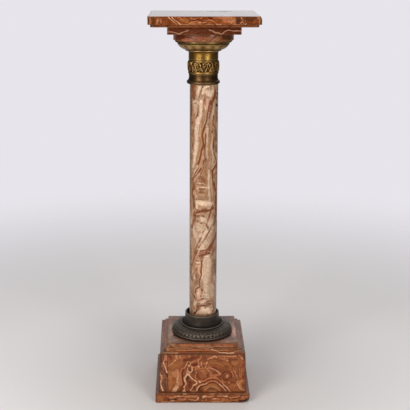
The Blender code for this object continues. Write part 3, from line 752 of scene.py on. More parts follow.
DIE_FRONT_VEINS = [
    # knot of cream veins left of the middle: ring, spine, crossing and two branches
    cream(1.5, [(-44, 110), (-45, 115), (-42, 119), (-38, 120), (-35, 117), (-35, 112), (-38, 109)], 0.7),
    cream(2.6, [(-40, 109), (-38, 107)]),
    cream(1.8, [(-39, 107), (-41, 101), (-43, 94), (-42, 90)], 0.7),
    cream(2.5, [(-45, 92), (-39, 90), (-33, 88)]),
    cream(2.5, [(-46, 86), (-41, 83), (-36, 82)]),
    cream(1.8, [(-28, 100), (-29, 94), (-32, 90)], 0.75),
    cream(2.9, [(-41, 82), (-46, 78), (-49, 73), (-51, 67), (-49, 60)]),
    cream(2.2, [(-49, 60), (-47, 55), (-49, 50), (-52, 44), (-50, 38), (-52, 31)], 0.85),
    cream(2.3, [(-39, 80), (-35, 76), (-30, 70), (-24, 65), (-18, 61), (-16, 57), (-19, 52), (-26, 49)]),
    cream(2, [(-26, 50), (-28, 45), (-30, 39), (-35, 34)], 0.75),
    cream(3, [(-54, 31), (-50, 30)]),
    cream(1.8, [(-32, 30), (-22, 31)], 0.6),
    # dull pink vein from the ring up to the right, and the pink line round the pale cloud
    pink(3.4, [(-34, 117), (-28, 119), (-20, 122), (-12, 126), (-6, 131), (-5, 139)], 0.7),
    pink(2.8, [(-46, 111), (-49, 104), (-54, 100), (-59, 98), (-62, 91), (-61, 80), (-60, 68)], 0.85),
    pink(3.6, [(-60, 64), (-58, 57), (-60, 50)], 0.7),
    # pale cloud at the left
    pale(9, [(-72, 92), (-70, 80), (-70, 66), (-68, 54), (-74, 42), (-80, 31)]),
    pale(8, [(-82, 86), (-78, 78)], 0.6),
    pink(7, [(-76, 88), (-80, 84)], 0.35),
    cream(7, [(-74, 44), (-78, 38), (-81, 31)], 0.6),
    pink(4, [(-80, 42), (-82, 34)], 0.5),
    cream(2.6, [(-69, 76), (-72, 66), (-70, 56)], 0.55),
    tan(8, [(-88, 88), (-88, 60), (-92, 40)], 0.8),
    # arch near the foot: two light lines with a dark one inside each
    cream(2.2, [(-17, 31), (-15, 38), (-10, 45), (-4, 50), (5, 52), (11, 55)], 0.9),
    pink(2.2, [(11, 55), (16, 59), (23, 61), (31, 61), (38, 59)], 0.8),
    cream(2, [(41, 57), (46, 53), (52, 48), (58, 42), (63, 36), (67, 31)], 0.8),
    cream(2.6, [(-9, 60), (-7, 58)], 0.9),
    pink(2.6, [(-7, 59), (0, 62), (8, 65), (15, 69), (24, 72), (33, 71), (41, 68), (48, 62), (56, 55)], 0.65),
    cream(2.2, [(56, 54), (61, 49), (66, 44), (71, 38), (76, 33), (80, 29)], 0.9),
    rust(2.8, [(-12, 31), (-11, 36), (-8, 41), (-3, 45), (5, 47), (12, 50), (19, 55), (28, 57), (38, 55),
               (46, 48), (54, 41), (60, 34)]),
    black(2.6, [(-11, 33), (-8, 40), (-2, 44)], 0.8),
    rust(2.4, [(-10, 52), (-2, 56), (7, 58), (14, 63), (24, 67), (34, 66), (42, 62), (50, 55), (58, 48),
               (66, 39), (71, 33)]),
    black(2, [(15, 62), (18, 63)], 0.7),
    rust(2.6, [(-14, 66), (-6, 65), (2, 67), (12, 72), (20, 77)], 0.9),
    tan(11, [(8, 44), (22, 47), (38, 44)]),
    tan(6, [(18, 50), (32, 50)]),
    olive(6, [(20, 39), (32, 38)], 0.5),
    pale(3, [(6, 32), (14, 41), (26, 45), (40, 42), (48, 33)], 0.8),
    pale(5, [(20, 31), (36, 31)], 0.8),
    rust(1.8, [(12, 33), (20, 40), (32, 41), (42, 34)], 0.5),
    # reddish round patch above the arch and its ring
    pink(12, [(1, 86), (0, 78)], 0.35),
    rust(9, [(-5, 82), (-2, 76)], 0.35),
    rust(3, [(-14, 94), (-16, 84), (-13, 75), (-6, 69)], 0.8),
    rust(2.4, [(16, 88), (15, 80), (10, 73)], 0.7),
    pink(1.8, [(-18, 100), (-8, 99), (4, 101), (12, 99)], 0.7),
    pink(1.8, [(-20, 104), (-20, 96), (-17, 87), (-21, 78), (-20, 71), (-14, 66), (-9, 60)], 0.9),
    cream(2.6, [(-17, 87)], 0.5),
    # small loops over it
    pink(2.8, [(-4, 119), (-2, 118)]),
    pink(2.2, [(-2, 117), (5, 114), (11, 118)], 0.9),
    cream(2.4, [(13, 119), (12, 116)], 0.7),
    cream(1.5, [(-4, 117), (-3, 110), (0, 103)], 0.7),
    pink(2, [(12, 114), (9, 107), (8, 102)]),
    cream(2, [(8, 104)], 0.7),
    olive(4, [(4, 108), (1, 105)], 0.8),
    rust(2.4, [(-8, 118), (-7, 108)], 0.8),
    pink(1.8, [(-12, 128), (-12, 117), (-11, 108)], 0.8),
    cream(3, [(-12, 106), (-10, 104)], 0.85),
    rust(6, [(-27, 111), (-18, 111)], 0.8),
    pink(2.2, [(-32, 109), (-30, 104), (-24, 103), (-14, 105)], 0.9),
    cream(1.5, [(-30, 104), (-31, 98), (-28, 93)], 0.7),
    black(2.2, [(-26, 99)], 0.8),
    # loop right of the middle
    pink(2.4, [(14, 100), (16, 94), (20, 92)], 0.9),
    cream(1.8, [(18, 101), (26, 98), (34, 96), (41, 92), (47, 87), (49, 83)], 0.75),
    cream(3, [(47, 86), (48, 83)], 0.7),
    pink(2.2, [(48, 82), (43, 80), (36, 79), (28, 80), (21, 79)], 0.8),
    pink(5, [(24, 85), (26, 80)], 0.4),
    rust(2.4, [(30, 88), (38, 88), (42, 85)], 0.8),
    pink(3.4, [(20, 74), (30, 74), (38, 72)], 0.5),
    rust(2.6, [(50, 96), (56, 88), (55, 79), (48, 74)], 0.8),
    rust(4, [(26, 107), (32, 101), (40, 97)], 0.8),
    pink(5, [(18, 106), (24, 104)], 0.4),
    # eye and its ring, small spots
    pink(6.4, [(68, 76)]),
    cream(4, [(68, 78)], 0.3),
    rust(3.4, [(56, 80), (60, 88), (69, 91), (78, 87), (81, 77), (76, 68), (66, 65), (58, 68)], 0.85),
    black(2.4, [(58, 73)], 0.7),
    cream(3, [(74, 57)], 0.75),
    tan(5, [(84, 50), (92, 48)], 0.9),
    rust(3, [(80, 60), (88, 57), (94, 60)], 0.7),
    pink(3, [(56, 64), (64, 58)], 0.4),
    # wavy vein under the top edge
    pink(3, [(15, 127), (21, 131), (27, 134), (34, 137), (39, 134)]),
    cream(2, [(24, 132), (32, 136), (38, 135)], 0.5),
    pink(2.4, [(44, 137), (56, 137), (68, 136), (80, 136), (94, 138)], 0.95),
    cream(1.6, [(71, 136), (82, 136), (92, 137)], 0.6),
    pink(4, [(50, 131), (60, 131)], 0.5),
    tan(4, [(58, 127), (66, 128), (69, 123)]),
    cream(3.2, [(69, 123)], 0.6),
    rust(2.2, [(18, 124), (26, 127), (36, 127), (46, 127), (54, 123)], 0.9),
    tan(9, [(24, 118), (40, 116), (58, 112), (76, 107)], 0.7),
    rust(1.7, [(20, 120), (34, 121), (48, 119), (60, 112), (72, 108)], 0.7),
    rust(1.6, [(24, 112), (40, 112), (56, 106), (68, 100)], 0.6),
    olive(5, [(76, 127), (76, 118)], 0.7),
    tan(7, [(85, 117), (94, 113)], 0.9),
    rust(1.8, [(76, 112), (86, 106), (97, 108), (102, 116)], 0.75),
    rust(3.2, [(78, 128), (90, 127), (100, 128)], 0.8),
    rust(5, [(64, 106), (72, 104)], 0.5),
    # right end: upright streaks, red strip, tan cloud and the line across the corner
    cream(1.7, [(91, 93), (92, 86), (95, 79), (97, 72)], 0.75),
    pink(1.7, [(86, 99), (88, 90), (88, 82)], 0.6),
    pink(1.6, [(103, 99), (103, 86), (106, 72)], 0.8),
    pink(1.5, [(103, 62), (96, 54), (91, 46), (88, 37)], 0.7),
    pink(1.8, [(82, 92), (84, 84), (86, 76)], 0.5),
    tan(3, [(109, 101), (110, 90), (108, 74)], 0.9),
    rust(1.8, [(100, 104), (102, 92), (101, 82), (98, 74)], 0.9),
    rust(1.6, [(86, 90), (88, 80), (92, 68)], 0.7),
    black(1.8, [(90, 80)], 0.6),
    rust(5, [(115, 110), (116, 92), (115, 72)], 0.5),
    pink(3, [(115, 106), (115, 92), (114, 78)], 0.5),
    tan(7, [(109, 62), (106, 50), (110, 40)]),
    pale(4, [(110, 64), (102, 54), (106, 42), (114, 34)], 0.9),
    cream(1.8, [(99, 64), (99, 52), (103, 42), (111, 35), (118, 34)], 0.5),
    rust(3.2, [(116, 52), (113, 44)], 0.8),
    pink(2.4, [(101, 141), (106, 135), (110, 129)], 0.9),
    cream(1.8, [(108, 132), (113, 126)], 0.8),
    olive(5, [(112, 141), (116, 134), (119, 125)]),
    black(3, [(116, 128), (118, 124)], 0.6),
    # top left: tan patches and lines
    pale(3, [(-96, 106), (-88, 113), (-81, 120), (-76, 124)]),
    cream(2.2, [(-77, 124)], 0.8),
    pale(6, [(-74, 138), (-73, 130)]),
    cream(3.4, [(-74, 136)], 0.4),
    pale(4.4, [(-63, 137), (-62, 132)]),
    black(3, [(-57, 133)], 0.7),
    pink(4.2, [(-38, 137), (-36, 134)], 0.6),
    pink(4.4, [(-20, 138)], 0.6),
    rust(5, [(-52, 126), (-34, 130), (-16, 134)], 0.7),
    tan(9, [(-86, 104), (-74, 110), (-64, 116)], 0.7),
    rust(3, [(-90, 98), (-80, 96)], 0.5),
    rust(5, [(-95, 138), (-88, 128)], 0.7),
    # dark band along the top joint: painted shade under the cap's edge, with soiling in the joint
    olive(4, [(-98, 142), (-60, 143), (-10, 143), (40, 143), (100, 143)], 0.8),
    # dark fillings of the knot and the red-brown band left of it
    olive(4, [(-37, 103), (-35, 95)]),
    black(2.2, [(-36, 96)], 0.7),
    olive(4.4, [(-27, 94), (-25, 86)], 0.9),
    rust(7, [(-35, 58), (-37, 47)], 0.9),
    olive(5.4, [(-40, 75), (-43, 67), (-41, 60)]),
    black(2.8, [(-41, 74), (-44, 66)], 0.75),
    black(3, [(-24, 59)], 0.75),
    black(2.6, [(-31, 45)], 0.9),
    black(2.2, [(-48, 43)], 0.8),
    black(2, [(-40, 115)]),
    rust(3.6, [(-54, 97), (-57, 86), (-56, 72), (-54, 60), (-54, 50), (-58, 42), (-62, 34)]),
    rust(2.4, [(-50, 96), (-51, 86)], 0.7),
    rust(3.6, [(-24, 44), (-20, 36)], 0.7),
    rust(3, [(-46, 36), (-42, 32)], 0.7),
    olive(4, [(-68, 31), (-60, 33)]),
]
SIDE_SLAB_VEINS = [
    pink(4.8, [(-104, 139), (-103, 127)], 0.9),
    pink(2.4, [(-105, 128), (-109, 121), (-110, 116), (-108, 108)]),
    cream(2.2, [(-109, 118), (-107, 109), (-104, 101), (-102, 94), (-99, 87)], 0.9),
    cream(2.2, [(-119, 86), (-118, 79)], 0.9),
    pale(4.6, [(-117, 78), (-116, 70), (-117, 62)]),
    cream(2.2, [(-118, 62), (-118, 54), (-117, 46)], 0.8),
    cream(3, [(-117, 46), (-115, 40), (-112, 33)]),
    rust(4, [(-116, 138), (-116, 128), (-114, 118)], 0.8),
    rust(3, [(-115, 104), (-115, 96)], 0.9),
    black(2.6, [(-115, 85), (-114, 83)], 0.8),
    pink(3.4, [(-113, 108), (-112, 98)], 0.5),
    pink(3.4, [(-103, 114), (-101, 106)], 0.5),
    olive(5, [(-105, 68), (-106, 52), (-104, 34)], 0.8),
    olive(2, [(-109, 76), (-109, 56)], 0.6),
    rust(3, [(-108, 92), (-104, 84)], 0.5),
    black(2.8, [(-102, 83), (-99, 76)]),
    black(2, [(-102, 38)], 0.8),
    olive(3, [(-122, 140), (-122, 100), (-123, 60), (-124, 32)]),
]
FOOT_FRONT_VEINS = [
    pink(3, [(-82, 18), (-70, 20), (-56, 19), (-36, 20), (-16, 20)], 0.9),
    pale(5, [(-78, 19), (-50, 18), (-20, 18)], 0.6),
    cream(2, [(-70, 20), (-62, 19)], 0.6),
    cream(2.6, [(-11, 17), (-13, 12), (-18, 8), (-25, 7)], 0.85),
    pale(4, [(-38, 10), (-26, 8)], 0.8),
    cream(3.6, [(2, 18), (7, 20)], 0.75),
    pink(3, [(8, 20), (16, 18), (24, 19), (30, 22)]),
    pale(3, [(44, 20), (56, 21), (70, 20)]),
    cream(2.4, [(62, 20), (69, 20)], 0.8),
    cream(3, [(77, 16)], 0.8),
    pale(3, [(80, 14), (90, 17), (104, 19)]),
    cream(3, [(114, 19), (114, 16)], 0.6),
    pink(3, [(108, 11), (118, 13), (123, 20)], 0.5),
    rust(2.2, [(-74, 14), (-64, 16), (-50, 15), (-44, 13)]),
    rust(2.2, [(-38, 14), (-28, 14)], 0.8),
    rust(2.4, [(14, 14), (22, 12), (30, 15), (38, 18)]),
    rust(2.2, [(40, 16), (56, 16), (72, 14)], 0.9),
    rust(2.6, [(74, 14), (76, 9)]),
    rust(3, [(84, 12), (96, 14), (106, 16)], 0.9),
    tan(3.6, [(70, 6), (86, 8), (100, 9)], 0.9),
    pink(3, [(-68, 10), (-56, 10), (-46, 12)], 0.8),
    cream(2.2, [(-52, 12), (-48, 11)], 0.6),
    pink(3, [(28, 12), (36, 13), (46, 11)]),
    cream(2, [(30, 12), (36, 13)], 0.6),
    pink(5, [(56, 11), (68, 12)], 0.5),
    olive(4.6, [(-8, 22), (-5, 14), (-6, 8)]),
    olive(4, [(3, 11), (8, 8)], 0.8),
    olive(3, [(14, 9), (18, 6)], 0.7),
    pale(3.4, [(-92, 16), (-84, 15)]),
    cream(2.6, [(-88, 6), (-80, 6)], 0.5),
    cream(2.6, [(10, 8)], 0.6),
    black(3, [(-97, 10), (-96, 8)], 0.9),
    black(3.6, [(-78, 10), (-75, 10)]),
    olive(3, [(-88, 10), (-85, 10)]),
    olive(3, [(-110, 6), (-100, 7)], 0.6),
    olive(2.8, [(-60, 4), (-30, 3), (-14, 3)]),
    black(2.6, [(-17, 3), (-6, 4)], 0.8),
    black(2.6, [(84, 4), (94, 3)], 0.8),
    black(3.4, [(104, 5), (116, 6), (124, 11)]),
    pale(3.4, [(26, 3), (40, 4), (56, 3)]),
    pink(2.6, [(-116, 3), (-90, 3)], 0.7),
    pink(3, [(-86, 27), (-82, 27)], 0.6),
    cream(3, [(-67, 27)], 0.5),
    cream(3, [(-54, 28), (-46, 28)], 0.8),
    cream(3.4, [(22, 27), (34, 28)], 0.8),
    pale(3.4, [(48, 27), (58, 24)]),
    pink(3, [(64, 26), (74, 28)], 0.7),
    pink(4, [(92, 25), (104, 25)], 0.5),
    cream(3, [(119, 27)], 0.6),
    olive(4, [(-78, 25), (-70, 24)]),
    black(2.4, [(-62, 27), (-59, 27)], 0.6),
    black(2, [(-50, 24)], 0.6),
    olive(4, [(-32, 26), (-12, 24), (-2, 24)], 0.8),
    olive(3, [(34, 24), (44, 25)]),
    rust(3, [(76, 25), (84, 23)], 0.9),
    olive(3, [(106, 23), (112, 24)], 0.8),
    tan(8, [(-122, 18), (-116, 10)], 0.7),
]
FOOT_CHIP = ((9.0, 9.0, 19.0), (16.0, 16.0, 15.0), (23.0, 23.0, 8.0))   # three breaks: reaches in x, y, z


def corner_shade(points, half):
    """Painted shade on the upright corners of a square piece with that half width: a dark line down each
    corner.
    """
    return 0.9 * ramp(np.abs(points[:, :2]).min(axis=1), half - 5.0, half - 1.2)


def plinth_foot():
    """Square slab with a groove round it; three planes take off its front right lower corner."""
    _, top, half = extent("plinth_foot")
    groove = half - 1.5
    corners = [(half - 3.0, 0.0, 0.0), (half, 0.0, 1.2), (half, 20.6, 0.9), (groove, 21.8, 0.5),
               (groove, 22.8, 0.5), (half, 24.0, 0.6), (half, top, 1.3), (half - 11.0, top, 0.0)]
    grid = square_grid(soft_profile(corners, 1.4, FACE), 1.7, CORNER)
    for seed, (reach_x, reach_y, reach_z) in enumerate(FOOT_CHIP):
        normal = (1.0 / reach_x, -1.0 / reach_y, -1.0 / reach_z)
        grid = break_off(grid, (half - reach_x, -half, 0.0), normal, 0.35, 300 + seed)
    grid = nick_arrises(grid, 1.0, 21)
    rng = np.random.default_rng(12)
    veins = drawn(FOOT_FRONT_VEINS, flat_place(Y, -half)) + other_sides(rng, half, 0.0, top, 16, 1)

    # Darkening of the foot slab: painted shade with soiling on the ledge by the die, the upper band soiled,
    # darker along the bottom edge and over the broken corner, and painted shade on the upright corners.
    def foot_dirt_and_shade(points):
        x, y, z = points.T
        edge = ramp(np.maximum(abs(x), abs(y)), half - 1.0, half - 2.5)
        ledge = 0.65 * edge * ramp(z, top - 0.8, top - 0.1)
        band = 0.45 * ramp(z, 21.0, 23.5)
        foot = 0.6 * ramp(z, 3.5, 0.5)
        broken = (points - (half, -half, 0.0)) @ (0.50, -0.50, -0.70)
        chip = 0.95 * ramp(broken, -13.0, -11.0) * ramp(x, half - 26.0, half - 22.0)
        return np.maximum.reduce([ledge, band, foot, corner_shade(points, half), chip])

    stone_skin("foot_slab", "plinth_foot", grid, veins, brown_onyx, foot_dirt_and_shade, seed=31)


def die_dirt_and_shade(low, high, half):
    """Darkening along the die's top and bottom joints and its corners: painted shade in the joints and under
    the cap's edge, with soiling in them, and painted shade down the upright corners.
    """
    def dirt_and_shade(points):
        z = points[:, 2]
        joints = np.maximum(0.5 * ramp(z, low + 1.8, low + 0.4), 0.85 * ramp(z, high - 3.4, high - 0.8))
        return np.maximum(joints, corner_shade(points, half - DIE_BATTER * (z - low) / (high - low)))
    return dirt_and_shade


def plinth_die():
    """The battered block and the slab at its left, which differ only in where they end."""
    foot, top, half = extent("plinth_die")
    joint_left, joint_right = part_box("plinth_side_slab")[1][X] / MM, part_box("plinth_die")[0][X] / MM
    corners = [(half - 3.0, foot, 0.0), (half, foot, 0.7), (half - DIE_BATTER, top, 0.9),
               (half - DIE_BATTER - 4.0, top, 0.0)]
    profile = soft_profile(corners, 1.5, FACE)
    rng = np.random.default_rng(5)
    sides = other_sides(rng, half - 2.0, foot, top, 24, 3)

    def front(across, height):
        return np.stack([across, -half + DIE_BATTER * (height - foot) / (top - foot), height], axis=-1)

    grid = square_grid(profile, 1.6, CORNER, left=joint_right)
    grid = break_off(grid, (107.0, -half + DIE_BATTER, top), (0.045, -1.0, 0.055), 0.15, 41)
    grid = nick_arrises(grid, 0.8, 22)
    stone_skin("die_block", "plinth_die", grid, drawn(DIE_FRONT_VEINS, front) + sides,
               brown_onyx, die_dirt_and_shade(foot, top, half), seed=33)
    grid = nick_arrises(square_grid(profile, 2.3, 1.2, right=joint_left), 0.8, 23)
    stone_skin("die_side_slab", "plinth_side_slab", grid, drawn(SIDE_SLAB_VEINS, front) + sides,
               side_onyx, die_dirt_and_shade(foot, top, half), seed=34)


CAP_FRONT_VEINS = [
    # lowest riser, its tread with the cream wave, and the dark joint under it: painted shade along the joint,
    # with soiling in it
    cream(1.8, [(-95, 145), (-82, 145), (-70, 146)], 0.3),
    cream(2, [(24, 151), (32, 149.6), (40, 148.8), (48, 147.4), (56, 146), (68, 145.6), (80, 146.6),
                (92, 148), (106, 149)]),
    pale(3.4, [(-112, 146), (-98, 147), (-84, 148)], 0.6),
    olive(2.4, [(-118, 147), (-110, 146)]),
    rust(2.2, [(-110, 143), (-60, 143), (0, 143), (60, 143), (116, 143)]),
    rust(2, [(-60, 146), (-20, 145), (20, 145)], 0.6),
    # middle: orange below, greyish olive at the left, a bright line to the right of it, olive again
    pink(2.6, [(-74, 150), (-50, 150.4), (-30, 150), (20, 150.4)], 0.9),
    olive(2.6, [(-92, 151), (-80, 151)], 0.6),
    pink(2.4, [(44, 150), (70, 150)], 0.6),
    pale(3.6, [(-78, 156), (-60, 156.4), (-40, 156), (-28, 156.4)]),
    olive(2, [(-78, 153), (-50, 153), (-30, 153)], 0.5),
    cream(1.8, [(-14, 156.4), (0, 156), (14, 156), (28, 156.2)]),
    tan(3, [(-60, 157), (-30, 157)], 0.8),
    pale(6, [(-99, 151), (-98, 158), (-97, 166)]),
    olive(3.4, [(30, 153), (60, 153), (98, 153)], 0.8),
    pale(3, [(-30, 157.4), (10, 157.6), (50, 157.4), (84, 157)], 0.8),
    tan(4, [(-96, 153), (-88, 155)], 0.9),
    # upper riser: red-orange with a paler left end and a dark slanting line
    pink(4.4, [(-62, 161.5), (-30, 161.5), (0, 161)], 0.7),
    pink(4, [(0, 161), (40, 161.5), (84, 161)], 0.4),
    rust(2.8, [(-74, 166.4), (-20, 166), (20, 166.4), (48, 166.4)]),
    pale(6, [(-94, 163), (-82, 161)], 0.9),
    olive(3, [(-97, 165), (-88, 158), (-80, 152), (-74, 149)]),
    olive(2.6, [(-76, 166), (-72, 158)], 0.8),
    olive(4, [(80, 165), (90, 161), (96, 154)], 0.6),
]
CAP_TOP_VEINS = [
    pale(9, [(-92, -60), (-94, -20), (-90, 30)], 0.9),
    pink(5, [(-88, -70), (-86, -40)], 0.6),
    olive(5, [(-78, -80), (-84, -50), (-82, 0)], 0.8),
    pink(8, [(92, -70), (92, -30), (90, 20)], 0.95),
    cream(4, [(96, -50), (93, -16), (96, 10)], 0.7),
    rust(2, [(84, -66), (88, -44), (84, -30)], 0.9),
    pink(8, [(70, -92), (84, -90), (96, -84)], 0.9),
    rust(3, [(62, -84), (76, -76), (92, -78)], 0.8),
    # olive band in front of the ring: painted shadow under its front edge
    olive(10, [(-80, -92), (-40, -94), (0, -96), (30, -94)], 0.9),
    rust(3.4, [(-70, -98), (-30, -99), (10, -98)], 0.6),
    olive(6, [(60, -60), (84, 60), (70, 92)], 0.7),
    rust(3, [(-60, 90), (-20, 94), (30, 92)], 0.7),
    # paler stone beside the ring, and olive along the side ledges
    pale(9, [(91, 30), (92, -28)]),
    pale(7, [(-93, 30), (-92, 4)]),
    olive(10, [(110, -119), (110, 119)]),
    olive(10, [(-110, -119), (-110, 119)]),
]


def plinth_cap():
    """Two set-offs, each with a small hollow, up to the flat that carries the ring."""
    foot, top, wide = extent("plinth_cap")
    middle, narrow = wide - 10.0, wide - 19.6
    corners = [(wide - 4.0, foot, 0.0), (wide, foot, 0.7), (wide, foot + 4.4, 0.6),
               (wide - 8.6, foot + 5.2, 1.2), (middle, foot + 7.4, 1.0), (middle, foot + 12.4, 0.6),
               (middle - 8.2, foot + 13.5, 1.2), (narrow, foot + 15.8, 1.0), (narrow, top, 1.0),
               (narrow - 6.0, top, 0.0)]
    grid = nick_arrises(square_grid(soft_profile(corners, 1.3, 22), 1.7, CORNER), 0.9, 24)
    half_widths, heights, _ = np.array(corners)[1:-1].T

    def front(across, height):
        return np.stack([across, -np.interp(height, heights, half_widths), height], axis=-1)

    # Darkening: painted shade with soiling at the foot joint, painted shade on the upright corners, and
    # soiling along the top arris.
    def dirt_and_shade(points):
        x, y, z = points.T
        half = np.interp(z, heights, half_widths)
        joint = 0.6 * ramp(z, foot + 1.2, foot + 0.2)
        arris = ramp(z, top - 3.6, top - 1.6) * ramp(np.maximum(abs(x), abs(y)), narrow - 4.0, narrow - 1.0)
        arris = 0.8 * arris * ramp(half, narrow + 1.0, narrow)
        return np.maximum.reduce([joint, corner_shade(points, half), arris])

    def ledges(points):
        x, y, z = points.T
        upper = np.maximum(ramp(z, top - 2.0, top - 1.0), ramp(abs(x), 97.0, 101.0))
        beside_ring = np.maximum(ramp(np.hypot(x, y), 94.5, 98.0), ramp(y, -30.0, -10.0))
        right = np.exp(-((x - 92.0) / 8.0) ** 2 - ((y - 4.0) / 30.0) ** 2)
        left = 0.8 * np.exp(-((x + 93.0) / 6.0) ** 2 - ((y - 18.0) / 16.0) ** 2)
        return (0.15 + 0.65 * upper) * beside_ring * (1.0 - right - left)

    # A painted shadow: black arcs on the cap round the front of the ring's foot.
    turn = np.radians(np.linspace(198.0, 342.0, 25))
    arch = np.stack([np.cos(turn), np.sin(turn)], axis=-1)      # round the front, under the ring's edge
    ring_shadow = [black(4.0, 87.5 * arch), black(7.5, 90.5 * arch[2:-2]), black(5.0, 94.0 * arch[7:-7], 0.8)]
    rng = np.random.default_rng(8)
    veins = drawn(CAP_FRONT_VEINS, front) + drawn(CAP_TOP_VEINS + ring_shadow, flat_place(Z, top))
    veins += other_sides(rng, wide - 8.0, foot, top, 8, 2)
    stone_skin("plinth_moulding", "plinth_cap", grid, veins, cap_onyx, dirt_and_shade, ledges, seed=35,
               hollows=0.2)


# Dark ring

TONGUES = 44


def ring_relief(angle, height):
    """Carving round the shoulder: narrow tongues, broken up by worn scrollwork."""
    along = (height - 174.5) / 15.5
    body = ramp(along, 0.0, 0.12) * ramp(along, 1.0, 0.9)
    places = round_points(angle, 84.0, 1.6 * height)
    scrolls = cloud(places, 5.0, 61, 2).reshape(angle.shape)
    fine = lattice_noise(places, 2.6, 64).reshape(angle.shape)
    tongues = np.cos(TONGUES * angle) * ramp(along, 0.75, 0.35)
    row = np.exp(-((along - 0.62) / 0.07) ** 2)
    return body * (0.35 * tongues + 0.9 * np.abs(scrolls) ** 0.8 - 0.4 + 0.3 * fine - 0.5 * row)


def dark_ring():
    """Bronze casting: rounded rim, carved shoulder, bead, hollow neck, thin lip and socket."""
    foot, rim, radius = extent("base_ring")
    corners = [(radius - 6.0, foot, 0.0), (radius - 3.0, foot, 0.4), (radius - 3.0, foot + 1.4, 0.4),
               (radius, foot + 1.8, 0.5), (radius, 170.9, 0.6), (86.0, 172.6, 0.6), (85.0, 172.9, 0.3),
               (84.9, 174.6, 0.8), (82.8, 180.4, 1.6), (79.4, 184.0, 1.6), (74.0, 187.0, 1.5),
               (67.8, 189.2, 1.5), (62.6, 190.6, 0.4)]
    corners += arc(59.8, 192.6, 1.7, -30.0, 110.0, 7)
    corners += curve((57.6, 194.4), (48.9, 213.0), 12)
    corners += [(48.7, 222.6, 0.8), (47.8, rim, 0.7), (44.4, rim, 0.4), (43.6, rim - 0.9, 0.5),
                (43.6, 208.6, 0.6), (38.0, 208.6, 0.0)]
    grid = round_grid(soft_profile(corners, 1.2, FACE), 440, relief=ring_relief)

    # Painted shade: dark inside the socket and along the groove over the rim.
    def socket_and_groove_shade(points):
        x, y, z = points.T
        socket = 0.9 * ramp(np.hypot(x, y), 46.0, 44.0) * ramp(z, 205.0, 207.0)
        return np.maximum(socket, 0.8 * ramp(z, 172.4, 172.8) * ramp(z, 175.0, 173.8))

    # A painted highlight: a light band round the rim, given as rubbed metal.
    def worn(points):
        z = points[:, 2]
        return ramp(z, 169.4, 170.2) * ramp(z, 172.8, 172.3)

    metal_skin("ring_casting", "base_ring", grid, dark_bronze, socket_and_groove_shade, worn)


# Shaft

